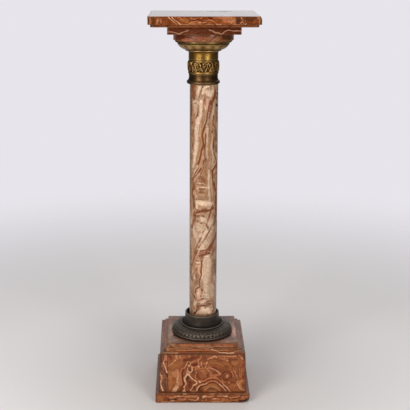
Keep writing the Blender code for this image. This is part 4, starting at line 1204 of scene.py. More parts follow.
SHAFT_SHIFT = 2.1            # how far right of the axis the shaft stands
SHAFT_VEINS = [
    # darker flanks
    olive(13, [(-57, 884), (-54, 800), (-58, 700), (-54, 620), (-58, 540)], 0.75),
    tan(12, [(-52, 620), (-50, 560), (-54, 500)], 0.8),
    olive(12, [(-58, 520), (-54, 440), (-52, 380), (-56, 300), (-54, 240)], 0.85),
    olive(12, [(56, 884), (54, 840), (58, 760), (54, 700)], 0.8),
    rust(12, [(56, 700), (55, 620), (56, 540), (54, 480)], 0.6),
    olive(13, [(57, 500), (54, 420), (50, 360), (56, 300), (54, 236)], 0.75),
    # long rust vein from the top right to the left, and its companions
    rust(3.9, [(34, 868), (30, 852), (25, 845), (17, 836), (13, 828)]),
    rust(7.2, [(20, 838), (18, 828), (15, 818)], 0.8),
    rust(3.6, [(13, 828), (10, 814), (8, 800), (5, 783), (1, 771), (-3, 760), (-5, 747), (-3, 732),
               (-2, 720), (-7, 706), (-9, 692), (-12, 680), (-17, 668)]),
    black(1.2, [(9, 808), (7, 794), (4, 780)], 0.5),
    rust(2.3, [(38, 862), (32, 848), (26, 836), (22, 822), (17, 808), (14, 794)], 0.9),
    rust(2.3, [(4, 852), (1, 842), (-1, 830)], 0.7),
    rust(2.9, [(4, 752), (4, 734), (2, 714), (2, 694), (0, 678), (-3, 665)], 0.9),
    rust(5.7, [(4, 684), (4, 680)], 0.95),
    black(2.6, [(4, 683)], 0.7),
    cream(2.6, [(-2, 688), (-3, 684)], 0.7),
    rust(3.1, [(-14, 657), (-19, 649), (-24, 642), (-30, 632), (-35, 622)]),
    rust(2.9, [(-7, 656), (-12, 650), (-17, 644), (-23, 635), (-28, 628)], 0.9),
    rust(2.6, [(-1, 660), (-4, 650), (-9, 640)], 0.6),
    cream(2, [(-18, 664), (-25, 650), (-31, 640)], 0.8),
    cream(1.5, [(-10, 660), (-16, 650), (-21, 642), (-28, 633)], 0.7),
    pink(2.4, [(-3, 656), (-8, 646), (-12, 638)], 0.6),
    # pale zones left of it
    cream(5.4, [(-8, 842), (-9, 828), (-9, 812), (-11, 798)], 0.9),
    cream(2.6, [(-7, 836), (-6, 832)], 0.9),
    pale(9, [(-12, 800), (-17, 784), (-21, 768), (-23, 750), (-23, 730), (-23, 712), (-27, 694),
               (-29, 676), (-32, 662)]),
    cream(7.4, [(-14, 792), (-18, 780), (-21, 765), (-23, 745), (-22, 730), (-24, 712), (-27, 694)], 0.75),
    cream(4, [(-28, 690), (-30, 672), (-34, 658)], 0.55),
    pale(9, [(-28, 838), (-26, 824), (-26, 812)]),
    cream(3.4, [(-34, 836), (-24, 841), (-20, 836)], 0.5),
    pink(5, [(-28, 826), (-24, 812)], 0.6),
    rust(3.1, [(-16, 828), (-17, 816), (-19, 804), (-24, 792)], 0.7),
    rust(3.9, [(-19, 803)], 0.9),
    black(2.2, [(-28, 834)], 0.75),
    tan(5, [(-12, 788), (-12, 760), (-11, 730), (-14, 704), (-17, 688)], 0.9),
    cream(1.5, [(-8, 780), (-10, 764), (-11, 745)], 0.5),
    # top: rust patch, cream patches and fine dark lines
    rust(10.4, [(-36, 884), (-33, 872), (-32, 858)], 0.8),
    olive(5.8, [(-43, 880), (-44, 860), (-43, 840), (-42, 822), (-43, 800)]),
    olive(5.1, [(-36, 852), (-30, 847)], 0.8),
    olive(3, [(-36, 880), (-35, 862)], 0.8),
    pale(7, [(-18, 862), (-13, 876)], 0.9),
    cream(4.4, [(-20, 864), (-17, 872), (-13, 884)], 0.9),
    cream(1.8, [(-8, 884), (-11, 872)], 0.7),
    olive(2.5, [(-14, 852), (-11, 864), (-6, 876), (-4, 884)]),
    rust(2.1, [(-26, 884), (-24, 870)], 0.8),
    rust(2, [(-17, 884), (-19, 872)], 0.5),
    pale(10, [(4, 868), (14, 866), (22, 864)], 0.9),
    cream(4.2, [(-3, 862), (-1, 874), (4, 880), (12, 883)], 0.9),
    cream(7.4, [(8, 862), (16, 858), (24, 866)], 0.95),
    cream(2.6, [(22, 882), (26, 874)], 0.7),
    tan(3.6, [(9, 878), (10, 872)]),
    olive(1.8, [(8, 880), (11, 872)], 0.7),
    pink(5.4, [(8, 846), (8, 834), (6, 822)], 0.9),
    cream(1.8, [(2, 830), (3, 818)], 0.6),
    tan(4, [(30, 880), (32, 868)], 0.9),
    # left edge
    rust(4.9, [(-37, 781)], 0.95),
    pink(3, [(-36, 767)], 0.9),
    rust(2.9, [(-34, 760), (-35, 745), (-34, 732), (-36, 718), (-36, 708)], 0.7),
    olive(4.6, [(-44, 798), (-45, 770), (-43, 750), (-44, 710), (-44, 680)], 0.8),
    pink(3.6, [(-39, 742), (-39, 722), (-40, 700)], 0.5),
    # right side: greys, tans, a mauve streak and dark lines
    pale(6, [(30, 846), (28, 828), (26, 810), (23, 794)], 0.9),
    cream(2, [(34, 842), (40, 836)], 0.5),
    rust(2.9, [(28, 802), (26, 788), (28, 777), (34, 768)], 0.8),
    tan(5, [(14, 792), (15, 768), (14, 748), (14, 720), (13, 700), (13, 684)]),
    olive(2.1, [(13, 780), (15, 762), (12, 744)], 0.6),
    pale(4.6, [(8, 774), (9, 752), (9, 730), (8, 706), (9, 684)], 0.7),
    pink(3.4, [(24, 750), (24, 738), (22, 726)]),
    rust(3.9, [(23, 758)], 0.7),
    pale(5.4, [(22, 726), (21, 712), (26, 698), (27, 684), (24, 668)]),
    cream(2.2, [(21, 722), (22, 708)], 0.5),
    rust(3.4, [(30, 740), (28, 718), (30, 698), (37, 684), (42, 672), (44, 660)], 0.9),
    olive(6.9, [(38, 762), (40, 746), (40, 730)], 0.6),
    olive(5.8, [(40, 716), (42, 700)], 0.6),
    black(5.6, [(41, 829), (44, 826)]),
    black(4, [(43, 870)], 0.9),
    black(4.4, [(43, 860), (46, 856)], 0.8),
    rust(5.2, [(37, 852), (42, 846)], 0.7),
    rust(5.2, [(45, 792), (46, 784)]),
    olive(3.4, [(38, 812), (40, 800)], 0.8),
    olive(2.8, [(7, 771)], 0.9),
    rust(6.5, [(44, 660), (46, 640)], 0.7),
    pink(5, [(36, 668), (34, 656)], 0.5),
    # orange patch with short level bands
    rust(8.3, [(-10, 630), (-3, 624), (-2, 618)], 0.75),
    rust(6.5, [(-36, 622), (-32, 608), (-30, 598)], 0.7),
    rust(3.9, [(-36, 596), (-36, 580), (-33, 570)], 0.8),
    rust(2, [(-22, 609), (-8, 610), (6, 608)], 0.9),
    rust(1.8, [(-18, 619), (-8, 619), (2, 618)], 0.7),
    cream(1.6, [(-15, 614), (-8, 615), (2, 614)], 0.7),
    cream(2.2, [(-20, 599), (-12, 602), (2, 602), (9, 603)], 0.95),
    pink(1.8, [(-14, 606), (4, 606)], 0.7),
    pink(4, [(-14, 594), (4, 594)], 0.5),
    tan(3.4, [(-14, 584), (0, 585), (9, 584)]),
    olive(1.6, [(-12, 585), (8, 585)], 0.8),
    olive(1.5, [(-10, 576), (8, 577)], 0.7),
    black(2.2, [(-23, 590)], 0.8),
    pink(6, [(-28, 586), (-22, 576)], 0.6),
    tan(5, [(8, 656), (9, 636), (8, 616)], 0.8),
    # rust vein at the right and the pale strip beside it
    rust(3.6, [(40, 662), (30, 654), (26, 645), (26, 628), (29, 613)]),
    rust(6.2, [(30, 612), (34, 600), (39, 590)]),
    black(2.4, [(33, 604), (37, 594)], 0.5),
    olive(2.8, [(20, 652), (24, 646)], 0.7),
    pale(5.6, [(14, 650), (14, 625), (14, 600), (16, 580), (18, 565)]),
    cream(2.2, [(14, 640), (14, 616), (15, 590)], 0.5),
    pink(3, [(20, 624), (22, 600), (26, 580)], 0.6),
    rust(6.5, [(43, 580), (41, 564), (41, 546), (43, 530), (43, 512)], 0.9),
    black(2.6, [(43, 578), (42, 556)], 0.5),
    # cream block and the olive strip left of it
    pale(12, [(-14, 558), (2, 558), (20, 556)]),
    cream(8, [(-14, 560), (2, 556), (18, 554)], 0.8),
    cream(4.6, [(-20, 562), (-20, 550), (-19, 544)], 0.9),
    olive(4.4, [(-30, 578), (-30, 560), (-29, 546)], 0.9),
    rust(3.1, [(-32, 570), (-32, 540)], 0.7),
    tan(4, [(15, 562), (15, 556)], 0.8),
    # level dark veins
    rust(3.1, [(-21, 530), (-10, 534), (3, 537), (14, 536), (22, 539), (32, 543)]),
    olive(4.1, [(15, 537), (24, 540), (31, 543)], 0.95),
    pink(3, [(-18, 526), (-6, 528), (4, 527)], 0.7),
    rust(2.3, [(-18, 521), (-12, 522)], 0.7),
    olive(4.1, [(-3, 521), (1, 520)], 0.9),
    rust(6.5, [(-27, 528), (-26, 514), (-29, 504), (-34, 494), (-40, 484)], 0.75),
    cream(4, [(-18, 512), (-10, 512), (-5, 509)], 0.5),
    pale(14, [(-4, 514), (8, 506), (16, 496)]),
    rust(2, [(-9, 500), (0, 501), (10, 497)], 0.8),
    olive(4.1, [(12, 490), (13, 486)], 0.95),
    olive(6.9, [(37, 518), (36, 502), (32, 492)], 0.7),
    pale(20, [(-16, 488), (4, 480), (-6, 462), (8, 446)]),
    pale(12, [(22, 506), (26, 486), (18, 466)], 0.8),
    cream(6, [(0, 494), (6, 478), (-8, 464)], 0.4),
    olive(2.3, [(-11, 467)], 0.95),
    olive(2.1, [(-11, 457)], 0.95),
    olive(2.8, [(-11, 449), (-11, 444)], 0.95),
    tan(4, [(24, 498), (24, 480), (20, 462)], 0.8),
    olive(3.4, [(-38, 470), (-38, 452)], 0.6),
    # red-brown slanting vein
    rust(8, [(44, 462), (38, 452), (30, 444), (24, 435), (18, 428)], 0.95),
    black(3, [(38, 450), (30, 444)], 0.5),
    rust(11, [(22, 424), (10, 418), (-4, 412)], 0.55),
    rust(4, [(24, 428), (16, 422), (6, 414)], 0.9),
    rust(2.6, [(18, 428), (8, 423), (-2, 421), (-10, 419)]),
    rust(4.2, [(17, 412), (8, 410), (-2, 407), (-11, 405)]),
    rust(5.7, [(-2, 408), (-5, 398), (-5, 390)], 0.8),
    black(3, [(15, 412), (19, 411)], 0.7),
    cream(1.6, [(-18, 424), (-10, 425), (0, 427)], 0.7),
    pink(2, [(-6, 414), (4, 415), (12, 417)], 0.9),
    pale(8, [(-6, 438), (0, 434), (-14, 420)], 0.9),
    cream(4, [(-4, 440), (0, 434)], 0.6),
    rust(7.8, [(34, 424), (30, 408)], 0.5),
    # long thin crack with a light line beside it
    rust(3.1, [(-5, 390), (-5, 372), (-7, 358), (-5, 347), (-10, 335), (-11, 322), (-10, 312)]),
    black(1.2, [(-8, 344), (-11, 328), (-10, 313)], 0.7),
    cream(2, [(1, 390), (-1, 372), (-2, 358), (-1, 348), (-5, 338)], 0.8),
    pale(7, [(4, 396), (4, 372), (4, 350)], 0.9),
    cream(3, [(6, 403), (14, 404)], 0.9),
    pale(2.2, [(13, 384), (12, 370), (9, 356)]),
    cream(1.6, [(14, 382), (12, 370), (9, 357)], 0.7),
    olive(3.4, [(-20, 390), (-14, 390)], 0.7),
    cream(3, [(-21, 384), (-10, 384)], 0.9),
    rust(2.3, [(-22, 379), (-12, 379)], 0.8),
    pink(5, [(-13, 374), (-12, 352)], 0.8),
    rust(10.4, [(32, 384), (32, 366), (34, 350)], 0.55),
    olive(6.9, [(42, 384), (43, 364), (42, 344)], 0.8),
    tan(9, [(-29, 424), (-27, 400), (-28, 376), (-28, 348)], 0.8),
    olive(8, [(-42, 350), (-40, 336), (-37, 328)], 0.9),
    pale(4, [(-27, 344), (-26, 334)]),
    olive(6.9, [(-44, 420), (-44, 396), (-44, 370)], 0.6),
    # pale foot of the shaft with cracks
    pale(12, [(14, 388), (14, 360), (10, 340)], 0.8),
    pale(17, [(6, 334), (8, 306), (8, 282)]),
    pale(12, [(26, 310), (28, 286)], 0.6),
    rust(3.1, [(-9, 312), (-15, 309), (-20, 306), (-23, 300), (-23, 292)]),
    black(1.5, [(-10, 311), (-17, 308), (-22, 302), (-23, 293)], 0.7),
    rust(3.9, [(-3, 306), (-3, 301)], 0.9),
    black(3.4, [(-28, 281), (-26, 278)], 0.9),
    rust(5.2, [(-31, 284), (-25, 277)], 0.8),
    rust(3.1, [(-7, 284)], 0.7),
    pink(9, [(-12, 298), (-12, 282)]),
    cream(5, [(-13, 300), (-15, 288)], 0.55),
    rust(2.3, [(-16, 271), (-8, 273), (0, 277), (12, 276)], 0.9),
    cream(5, [(-6, 266), (6, 268)], 0.7),
    pale(8, [(-24, 264), (-28, 256)], 0.7),
    rust(4.7, [(-17, 251), (-10, 255), (-3, 255), (4, 256), (9, 256), (14, 258), (22, 259)]),
    black(2.2, [(-8, 255), (2, 256), (8, 256)], 0.8),
    black(1.8, [(15, 261), (20, 259)], 0.7),
    rust(5.5, [(-15, 250), (-17, 244), (-20, 237), (-26, 229)]),
    black(2.8, [(-18, 243), (-21, 236)], 0.8),
    black(4, [(-24, 232), (-28, 227)], 0.6),
    tan(5, [(-32, 250), (-34, 236), (-30, 228)], 0.9),
    rust(5, [(30, 236), (22, 229), (14, 227)], 0.5),
    pale(13, [(-2, 240), (14, 238)]),
    cream(7, [(-2, 246), (6, 238), (14, 246)], 0.7),
    cream(4, [(27, 243), (18, 232)], 0.6),
    rust(2.1, [(1, 241), (4, 238)], 0.6),
    olive(9.2, [(-40, 258), (-44, 240), (-38, 232)], 0.6),
    olive(9.2, [(38, 256), (36, 238)], 0.5),
]


def shaft():
    """Polished round column with pits along its darkest veins."""
    foot, top, radius = extent("shaft", Y)
    corners = [(radius - 4.0, foot, 0.0), (radius, foot, 0.8), (radius, top, 0.8), (radius - 4.0, top, 0.0)]
    grid = round_grid(soft_profile(corners, 1.9, 1), 164, SHAFT_SHIFT)
    place = round_place(radius, SHAFT_SHIFT)
    rng = np.random.default_rng(17)
    kinds = ("cream", "cream", "rust", "tan", "pink", "cream", "rust", "pale")
    far_side = ((62.0, foot - 60.0), (2.0 * math.pi * radius - 62.0, top - 60.0))
    veins = drawn(SHAFT_VEINS, place)
    veins += wandering(rng, place, *far_side, 64, 3, kinds, (1.2, 4.0), math.pi / 2.0, (12.0, 34.0))
    points = grid.reshape(-1, 3)
    fields, _ = vein_fields(points, [vein for vein in veins if vein[0] == "black"], 1.0, 0.5, 36)
    pit = ramp(fields["black"], -0.1, 0.7).reshape(grid.shape[:2])
    grid = grid - outward(grid) * (0.6 * pit)[..., None]

    def net(points):
        z = points[:, 2]
        return 0.35 + 0.65 * np.maximum(ramp(z, 432.0, 452.0) * ramp(z, 524.0, 500.0), ramp(z, 345.0, 325.0))

    # Painted shade where the shaft goes down into the ring.
    def shaft_foot_shade(points):
        return 0.7 * ramp(points[:, 2], 231.0, 225.0)

    stone_skin("shaft_column", "shaft", grid, veins, cream_onyx, shaft_foot_shade, stretch=5.0,
               wobble=0.9, seed=36, net=net)


# Brass capital

LEAVES = 10


def collar():
    """Dull brass half-round under a plain band."""
    foot, top, _ = extent("capital_collar")
    corners = [(36.0, foot, 0.0), (40.2, foot, 0.3)]
    corners += arc(40.2, foot + 5.2, 4.9, -78.0, 78.0, 12)
    corners += [(41.2, foot + 10.8, 0.5), (40.2, foot + 13.0, 1.4), (39.1, foot + 17.5, 1.4),
                (39.1, foot + 24.2, 0.4), (39.7, foot + 25.2, 0.4), (39.7, top, 0.3), (35.0, top, 0.0)]
    grid = round_grid(soft_profile(corners, 1.0, 1), 280)
    # Painted shade: the collar is darkened towards its left and right sides.
    metal_skin("capital_collar_casting", "capital_collar", grid, dull_brass,
               lambda points: 0.75 * ramp(np.abs(points[:, 0]), 26.0, 38.0))


def leaf_relief(angle, height):
    """Pointed leaves with a raised outline and a sunk middle, and a slanting scroll on either side of
    each, all on a ground that is cut back between two fillets."""
    low, high = 917.6, 945.0      # heights of the two fillets
    up = np.clip((height - low) / (high - low), 0.0, 1.0)
    inside = ramp(up, 0.0, 0.06) * ramp(up, 1.0, 0.94)
    places = round_points(angle, 42.0, height)
    bent = 0.10 * cloud(places, 7.0, 71, 2).reshape(angle.shape)
    up = np.clip(up + 0.5 * bent * inside, 0.0, 1.0)
    turn = (angle / (2.0 * math.pi) * LEAVES + LEAVES / 4.0 + bent) % 1.0
    across = np.abs(((turn + 0.5) % 1.0) - 0.5) * 2.0
    edge = 0.30 * (1.0 - np.clip((up - 0.05) / 0.72, 0.0, 1.0) ** 1.6)
    outline = np.exp(-((across - edge) / 0.085) ** 2) * (up < 0.80)
    rib = 0.5 * np.exp(-(across / 0.05) ** 2) * ramp(up, 0.05, 0.2) * ramp(up, 0.72, 0.6)
    scroll_line = 0.40 + 0.50 * up ** 0.9
    scroll = np.exp(-((across - scroll_line) / 0.10) ** 2)
    bud = np.exp(-((across - 0.62) / 0.13) ** 2 - ((up - 0.22) / 0.12) ** 2)
    tip = np.exp(-((across - 0.12) / 0.16) ** 2 - ((up - 0.86) / 0.07) ** 2)
    return inside * (-1.3 + 2.9 * np.clip(outline + rib + scroll + bud + 0.8 * tip, 0.0, 1.0))


def leaf_band():
    """Brass band with its carved frieze."""
    foot, top, _ = extent("capital_leaf_band")
    corners = [(36.0, foot, 0.0), (40.4, foot, 0.4), (41.2, foot + 1.4, 0.6), (41.2, foot + 4.0, 0.6),
               (40.6, foot + 5.4, 0.4), (41.2, foot + 10.0, 1.0), (41.8, foot + 17.0, 2.0),
               (41.6, foot + 26.0, 2.0), (40.8, foot + 32.4, 0.5), (40.8, top, 0.3), (36.0, top, 0.0)]
    grid = round_grid(soft_profile(corners, 0.6, 1), 500, relief=leaf_relief)

    # Painted shade: the band is darkened towards its left and right ends.
    def tarnish(points):
        x = points[:, 0]
        return np.maximum(0.75 * ramp(x, -31.0, -39.0), 0.7 * ramp(x, 20.0, 28.0))

    metal_skin("capital_leaf_casting", "capital_leaf_band", grid, brass, tarnish)


LOBES = 16


def bowl_relief(angle, height):
    """Soft round lobes on the bowl: a wave round it, one crest a little right of the front."""
    body = ramp(height, 974.5, 979.0) * ramp(height, 991.0, 986.5)
    return body * 0.4 * np.cos(LOBES * (angle + math.pi / 2.0 - 0.16))


def bowl():
    """Plain neck, bead, full bowl with lobes, groove and moulded rim."""
    foot, top, _ = extent("capital_bowl")
    corners = [(36.0, foot, 0.0), (39.1, foot, 0.3), (39.1, foot + 1.8, 0.4), (40.0, foot + 2.8, 0.5),
               (40.0, 966.6, 1.0), (40.6, 970.0, 0.8), (42.0, 971.4, 0.5), (45.0, 971.8, 0.2)]
    corners += arc(47.0, 973.7, 1.5, -60.0, 70.0, 6)
    corners += bow((49.4, 975.2), (70.4, 991.6), 2.6, 14)
    corners += [(69.6, 993.0, 0.4), (72.0, 994.6, 0.5), (75.0, 995.4, 0.7), (75.8, 996.8, 0.5),
                (76.8, 998.2, 0.6), (77.2, 999.4, 0.5), (76.4, top, 0.3), (70.0, top, 0.0)]
    grid = round_grid(soft_profile(corners, 1.1, FACE), 390, relief=bowl_relief)

    # Painted shade and painted highlights: darker under the bowl's body, on its top, in the groove, round the
    # rim, at its left and right and on the sides of the neck; two places on the rim are left bright as
    # painted highlights.
    def tarnish(points):
        x, _, z = points.T
        under = 0.7 * ramp(z, 982.5, 978.0) * ramp(z, 974.8, 975.6)
        brow = 0.35 * ramp(z, 987.5, 990.0)
        groove = ramp(z, 991.6, 992.6) * ramp(z, 996.2, 994.8)
        rim = 0.75 * ramp(z, 994.6, 995.6) * np.clip(0.7 + 0.6 * cloud(points, 22.0, 88), 0.0, 1.0)
        left = 0.8 * ramp(x, -34.0, -44.0) * ramp(z, 990.0, 994.0)
        right = 0.6 * ramp(x, 38.0, 52.0) * ramp(z, 975.0, 985.0)
        neck = 0.5 * ramp(abs(x), 33.0, 40.0) * ramp(z, 970.0, 966.0)
        # the two painted highlights on the rim
        polished = np.exp(-((x + 27.0) / 7.0) ** 2) + np.exp(-((x - 21.0) / 11.0) ** 2)
        polished = np.where(z > 995.0, np.clip(polished, 0.0, 1.0), 0.0)
        return np.maximum.reduce([under, brow, groove, rim, left, right, neck]) * (1.0 - polished)

    metal_skin("capital_bowl_casting", "capital_bowl", grid, brass, tarnish)


# Onyx above the capital

DISC_VEINS = [
    rust(9, [(-86, 1010), (-72, 1012), (-60, 1014)], 0.8),
    pink(7, [(-62, 1006), (-50, 1005), (-36, 1006)]),
    cream(2, [(-64, 1004), (-56, 1003), (-46, 1003)], 0.25),
    rust(3, [(-64, 1013), (-48, 1012), (-34, 1013)], 0.8),
    pink(7, [(-30, 1008), (-10, 1010)], 0.4),
    # olive and rust along the top, here and in the last line: painted shadow under the slab above
    olive(5, [(-20, 1018), (0, 1018), (16, 1018)], 0.6),
    tan(8, [(14, 1010), (26, 1008), (40, 1008)], 0.8),
    cream(2.4, [(16, 1017), (24, 1018)], 0.7),
    pale(2, [(22, 1004), (30, 1009), (38, 1015)]),
    pale(2, [(32, 1003), (40, 1008), (48, 1014)], 0.9),
    cream(2, [(-6, 1004), (3, 1005)], 0.2),
    pink(6, [(-34, 1016), (-14, 1014), (6, 1013)], 0.5),
    rust(3, [(18, 1006), (28, 1012), (34, 1018)], 0.8),
    olive(9, [(56, 1012), (70, 1010), (84, 1010), (100, 1010)], 0.9),
    rust(3.6, [(-90, 1006), (-84, 1007)]),
    rust(2.4, [(-40, 1018), (0, 1015), (40, 1019)], 0.6),
]
UNDER_SLAB_VEINS = [
    cream(1.9, [(-94, 1027), (-83, 1028), (-73, 1026), (-66, 1023), (-60, 1025), (-54, 1028), (-47, 1031),
                (-40, 1032)]),
    cream(2, [(12, 1033), (20, 1031), (28, 1027), (36, 1025), (46, 1024), (52, 1028), (58, 1031),
                (66, 1032), (80, 1031), (95, 1030)]),
    rust(3, [(0, 1024), (16, 1026), (28, 1023)], 0.7),
    # rust and olive along the top: painted shadow under the top slab
    rust(3.6, [(-60, 1038), (-20, 1039), (20, 1038), (60, 1039)], 0.8),
    olive(4, [(52, 1038), (66, 1038)], 0.6),
    pink(5, [(-30, 1028), (-16, 1030)], 0.3),
]
TOP_FRONT_VEINS = [
    # left end: dark edge, olive and tan, then the orange-red ground
    olive(5, [(-144, 1049), (-143, 1058), (-144, 1067)]),
    olive(3.6, [(-140, 1051), (-130, 1050)], 0.8),
    olive(4.4, [(-131, 1067), (-127, 1062), (-125, 1058)], 0.6),
    pale(5, [(-118, 1063), (-120, 1057), (-122, 1051)], 0.7),
    rust(1.8, [(-113, 1067), (-102, 1067), (-92, 1067)], 0.9),
    pink(2.4, [(-112, 1062), (-110, 1054)], 0.7),
    rust(5, [(-104, 1062), (-94, 1058), (-88, 1052)], 0.3),
    # slanting cream veins
    cream(1.6, [(-92, 1069), (-88, 1065), (-84, 1062), (-78, 1057), (-74, 1053), (-70, 1049)]),
    cream(1.6, [(-82, 1067), (-77, 1063), (-74, 1061), (-67, 1056), (-63, 1052), (-58, 1049)]),
    rust(1.5, [(-86, 1066), (-79, 1060), (-73, 1056), (-67, 1051)], 0.9),
    cream(2.2, [(-67, 1066)], 0.8),
    pink(1.6, [(-64, 1069), (-58, 1064), (-53, 1059), (-51, 1055)], 0.9),
    pink(1.5, [(-62, 1062), (-57, 1058)], 0.6),
    # middle: brown with dark spots, a pinkish hill and a faint light line over it
    tan(7, [(-54, 1062), (-44, 1060)], 0.8),
    black(2.4, [(-58, 1068), (-55, 1067)], 0.7),
    black(2.6, [(-43, 1067), (-39, 1065)], 0.8),
    black(2.2, [(-30, 1068), (-26, 1068)], 0.7),
    rust(2.6, [(-40, 1061), (-30, 1060), (-20, 1061), (-11, 1060), (-4, 1063), (-2, 1067)], 0.9),
    pink(3.4, [(-9, 1065)], 0.9),
    pink(2, [(-36, 1065), (-28, 1063), (-20, 1065)], 0.6),
    pink(6, [(-32, 1052), (-22, 1053), (-12, 1051)], 0.7),
    cream(1.3, [(-55, 1050), (-45, 1050), (-38, 1052), (-34, 1055), (-25, 1058), (-16, 1057), (-7, 1054),
                (2, 1056), (6, 1055)], 0.6),
    rust(2, [(-36, 1048), (-16, 1049), (0, 1047)], 0.7),
    rust(4, [(10, 1067), (18, 1065)], 0.5),
    pink(4, [(24, 1067), (36, 1068), (44, 1066)], 0.7),
    pink(1.5, [(0, 1060), (8, 1061), (14, 1061), (21, 1059), (26, 1055), (31, 1051), (42, 1050)], 0.9),
    cream(1.2, [(4, 1050), (13, 1050), (22, 1050)], 0.6),
    cream(1.2, [(30, 1050), (38, 1050), (42, 1050)], 0.5),
    rust(2, [(10, 1055), (18, 1053)], 0.6),
    rust(3, [(36, 1058), (44, 1055)], 0.4),
    # pale and pink patch, its soft peach line, and the paler stone beside it
    pale(5, [(50, 1068), (60, 1068), (68, 1067)], 0.9),
    cream(2.4, [(60, 1065)], 0.5),
    pink(6.4, [(50, 1060), (58, 1059), (66, 1057)]),
    rust(1.6, [(50, 1062), (58, 1061), (64, 1063)], 0.5),
    cream(1.4, [(61, 1067), (68, 1063), (70, 1058), (66, 1053), (62, 1050)], 0.45),
    pale(5, [(73, 1064), (74, 1057), (76, 1052)], 0.6),
    # dark upright block, then brown with a light net to the right
    black(5, [(84, 1067), (85, 1061), (84, 1055)], 0.6),
    rust(7, [(84, 1069), (84, 1052)], 0.9),
    cream(1.6, [(78, 1050), (88, 1050)], 0.6),
    cream(1.5, [(89, 1068), (92, 1064), (93, 1062)], 0.75),
    black(2.2, [(91, 1059), (94, 1058)], 0.8),
    cream(1.3, [(97, 1061), (93, 1057), (89, 1053)], 0.7),
    cream(1.3, [(93, 1058), (97, 1053), (101, 1050), (104, 1052)], 0.75),
    black(2, [(99, 1055)], 0.6),
    olive(9, [(100, 1065), (114, 1064), (126, 1066)], 0.9),
    rust(8, [(108, 1056), (120, 1055), (130, 1057)], 0.5),
    pink(2, [(112, 1057)], 0.6),
    olive(4, [(98, 1050), (120, 1050), (140, 1050)], 0.7),
    pale(4.4, [(132, 1067), (138, 1064), (139, 1057)], 0.7),
    olive(3.4, [(143, 1062), (144, 1052)], 0.8),
    # step under the edge
    olive(3, [(-136, 1045), (-112, 1045)], 0.8),
    rust(3, [(-112, 1044), (-100, 1044), (-80, 1044)], 0.9),
    pale(2.4, [(-76, 1046), (-69, 1046)], 0.8),
    pale(2.4, [(-52, 1046), (-40, 1046)], 0.9),
    rust(2.6, [(-62, 1044), (-20, 1044)], 0.6),
    pale(2, [(0, 1046), (24, 1046)], 0.6),
    pink(2.2, [(-30, 1046), (-20, 1047)], 0.7),
    olive(3.6, [(48, 1044), (90, 1044), (136, 1044)], 0.95),
]
TOP_FACE_VEINS = [
    # dark rough marks towards the back and the right
    black(16, [(2, 100), (16, 98)], 0.35),
    black(17, [(28, 96), (46, 92), (66, 94)], 0.6),
    black(13, [(56, 74), (57, 66)], 0.8),
    black(14, [(38, -84), (72, -88)], 0.25),
    olive(14, [(-54, -70), (-42, -74)], 0.6),
    # veins
    cream(2.4, [(-120, -80), (-70, -30), (-50, 40), (-90, 110)], 0.5),
    pink(4, [(-20, -130), (10, -60), (60, -40), (120, -70)], 0.7),
    cream(2, [(-100, 20), (-30, 70), (20, 60), (40, 130)], 0.5),
    rust(5, [(-130, 60), (-60, 80), (0, 20), (50, 40), (130, 30)], 0.7),
    pink(4, [(100, 130), (90, 60), (120, 10)], 0.6),
    cream(1.8, [(-92, -144), (-98, -120), (-90, -96), (-104, -70)], 0.8),
    cream(1.8, [(-82, -144), (-86, -118), (-76, -92), (-84, -60)], 0.8),
    tan(14, [(-110, -110), (-120, -60), (-100, 0)], 0.8),
    pale(9, [(48, -144), (56, -120), (50, -96)], 0.7),
    tan(18, [(20, 30), (-20, 10), (-60, -20)], 0.7),
    olive(16, [(110, -100), (96, -60), (108, -10)], 0.6),
    tan(16, [(-60, 120), (-20, 110), (20, 128)], 0.7),
]


def top_disc():
    """Round onyx disc over the brass bowl."""
    foot, top, radius = extent("abacus_disc")
    corners = [(radius - 9.0, foot, 0.0), (radius, foot, 1.4), (radius, top, 1.2), (radius - 5.0, top, 0.0)]
    grid = round_grid(soft_profile(corners, 1.3, FACE), 320)
    grid = nick_arrises(grid, 0.7, 25)
    place = round_place(radius)
    rng = np.random.default_rng(19)
    veins = drawn(DISC_VEINS, place)
    veins += wandering(rng, place, (110.0, foot), (400.0, top), 12, 3, ("cream", "pink", "tan", "rust"))
    # The disc is darker at its top: painted shadow under the slab above.
    stone_skin("disc", "abacus_disc", grid, veins, pink_onyx,
               lambda points: 0.7 * ramp(points[:, 2], top - 3.0, top - 0.6), seed=37)


def under_slab():
    """Smaller square slab under the top."""
    foot, top, half = extent("abacus_slab")
    corners = [(half - 16.0, foot, 0.0), (half, foot, 1.0), (half, top, 1.0), (half - 4.0, top, 0.0)]
    grid = nick_arrises(square_grid(soft_profile(corners, 1.4, 4), 1.6, CORNER), 0.8, 26)
    rng = np.random.default_rng(20)
    veins = drawn(UNDER_SLAB_VEINS, flat_place(Y, -half))
    veins += other_sides(rng, half, foot, top, 8, 2, ("cream", "pink", "rust"))
    # The slab is darker at its top: painted shadow under the top slab.
    stone_skin("under_slab", "abacus_slab", grid, veins, dark_onyx,
               lambda points: 0.6 * ramp(points[:, 2], top - 2.5, top - 0.3), seed=38)


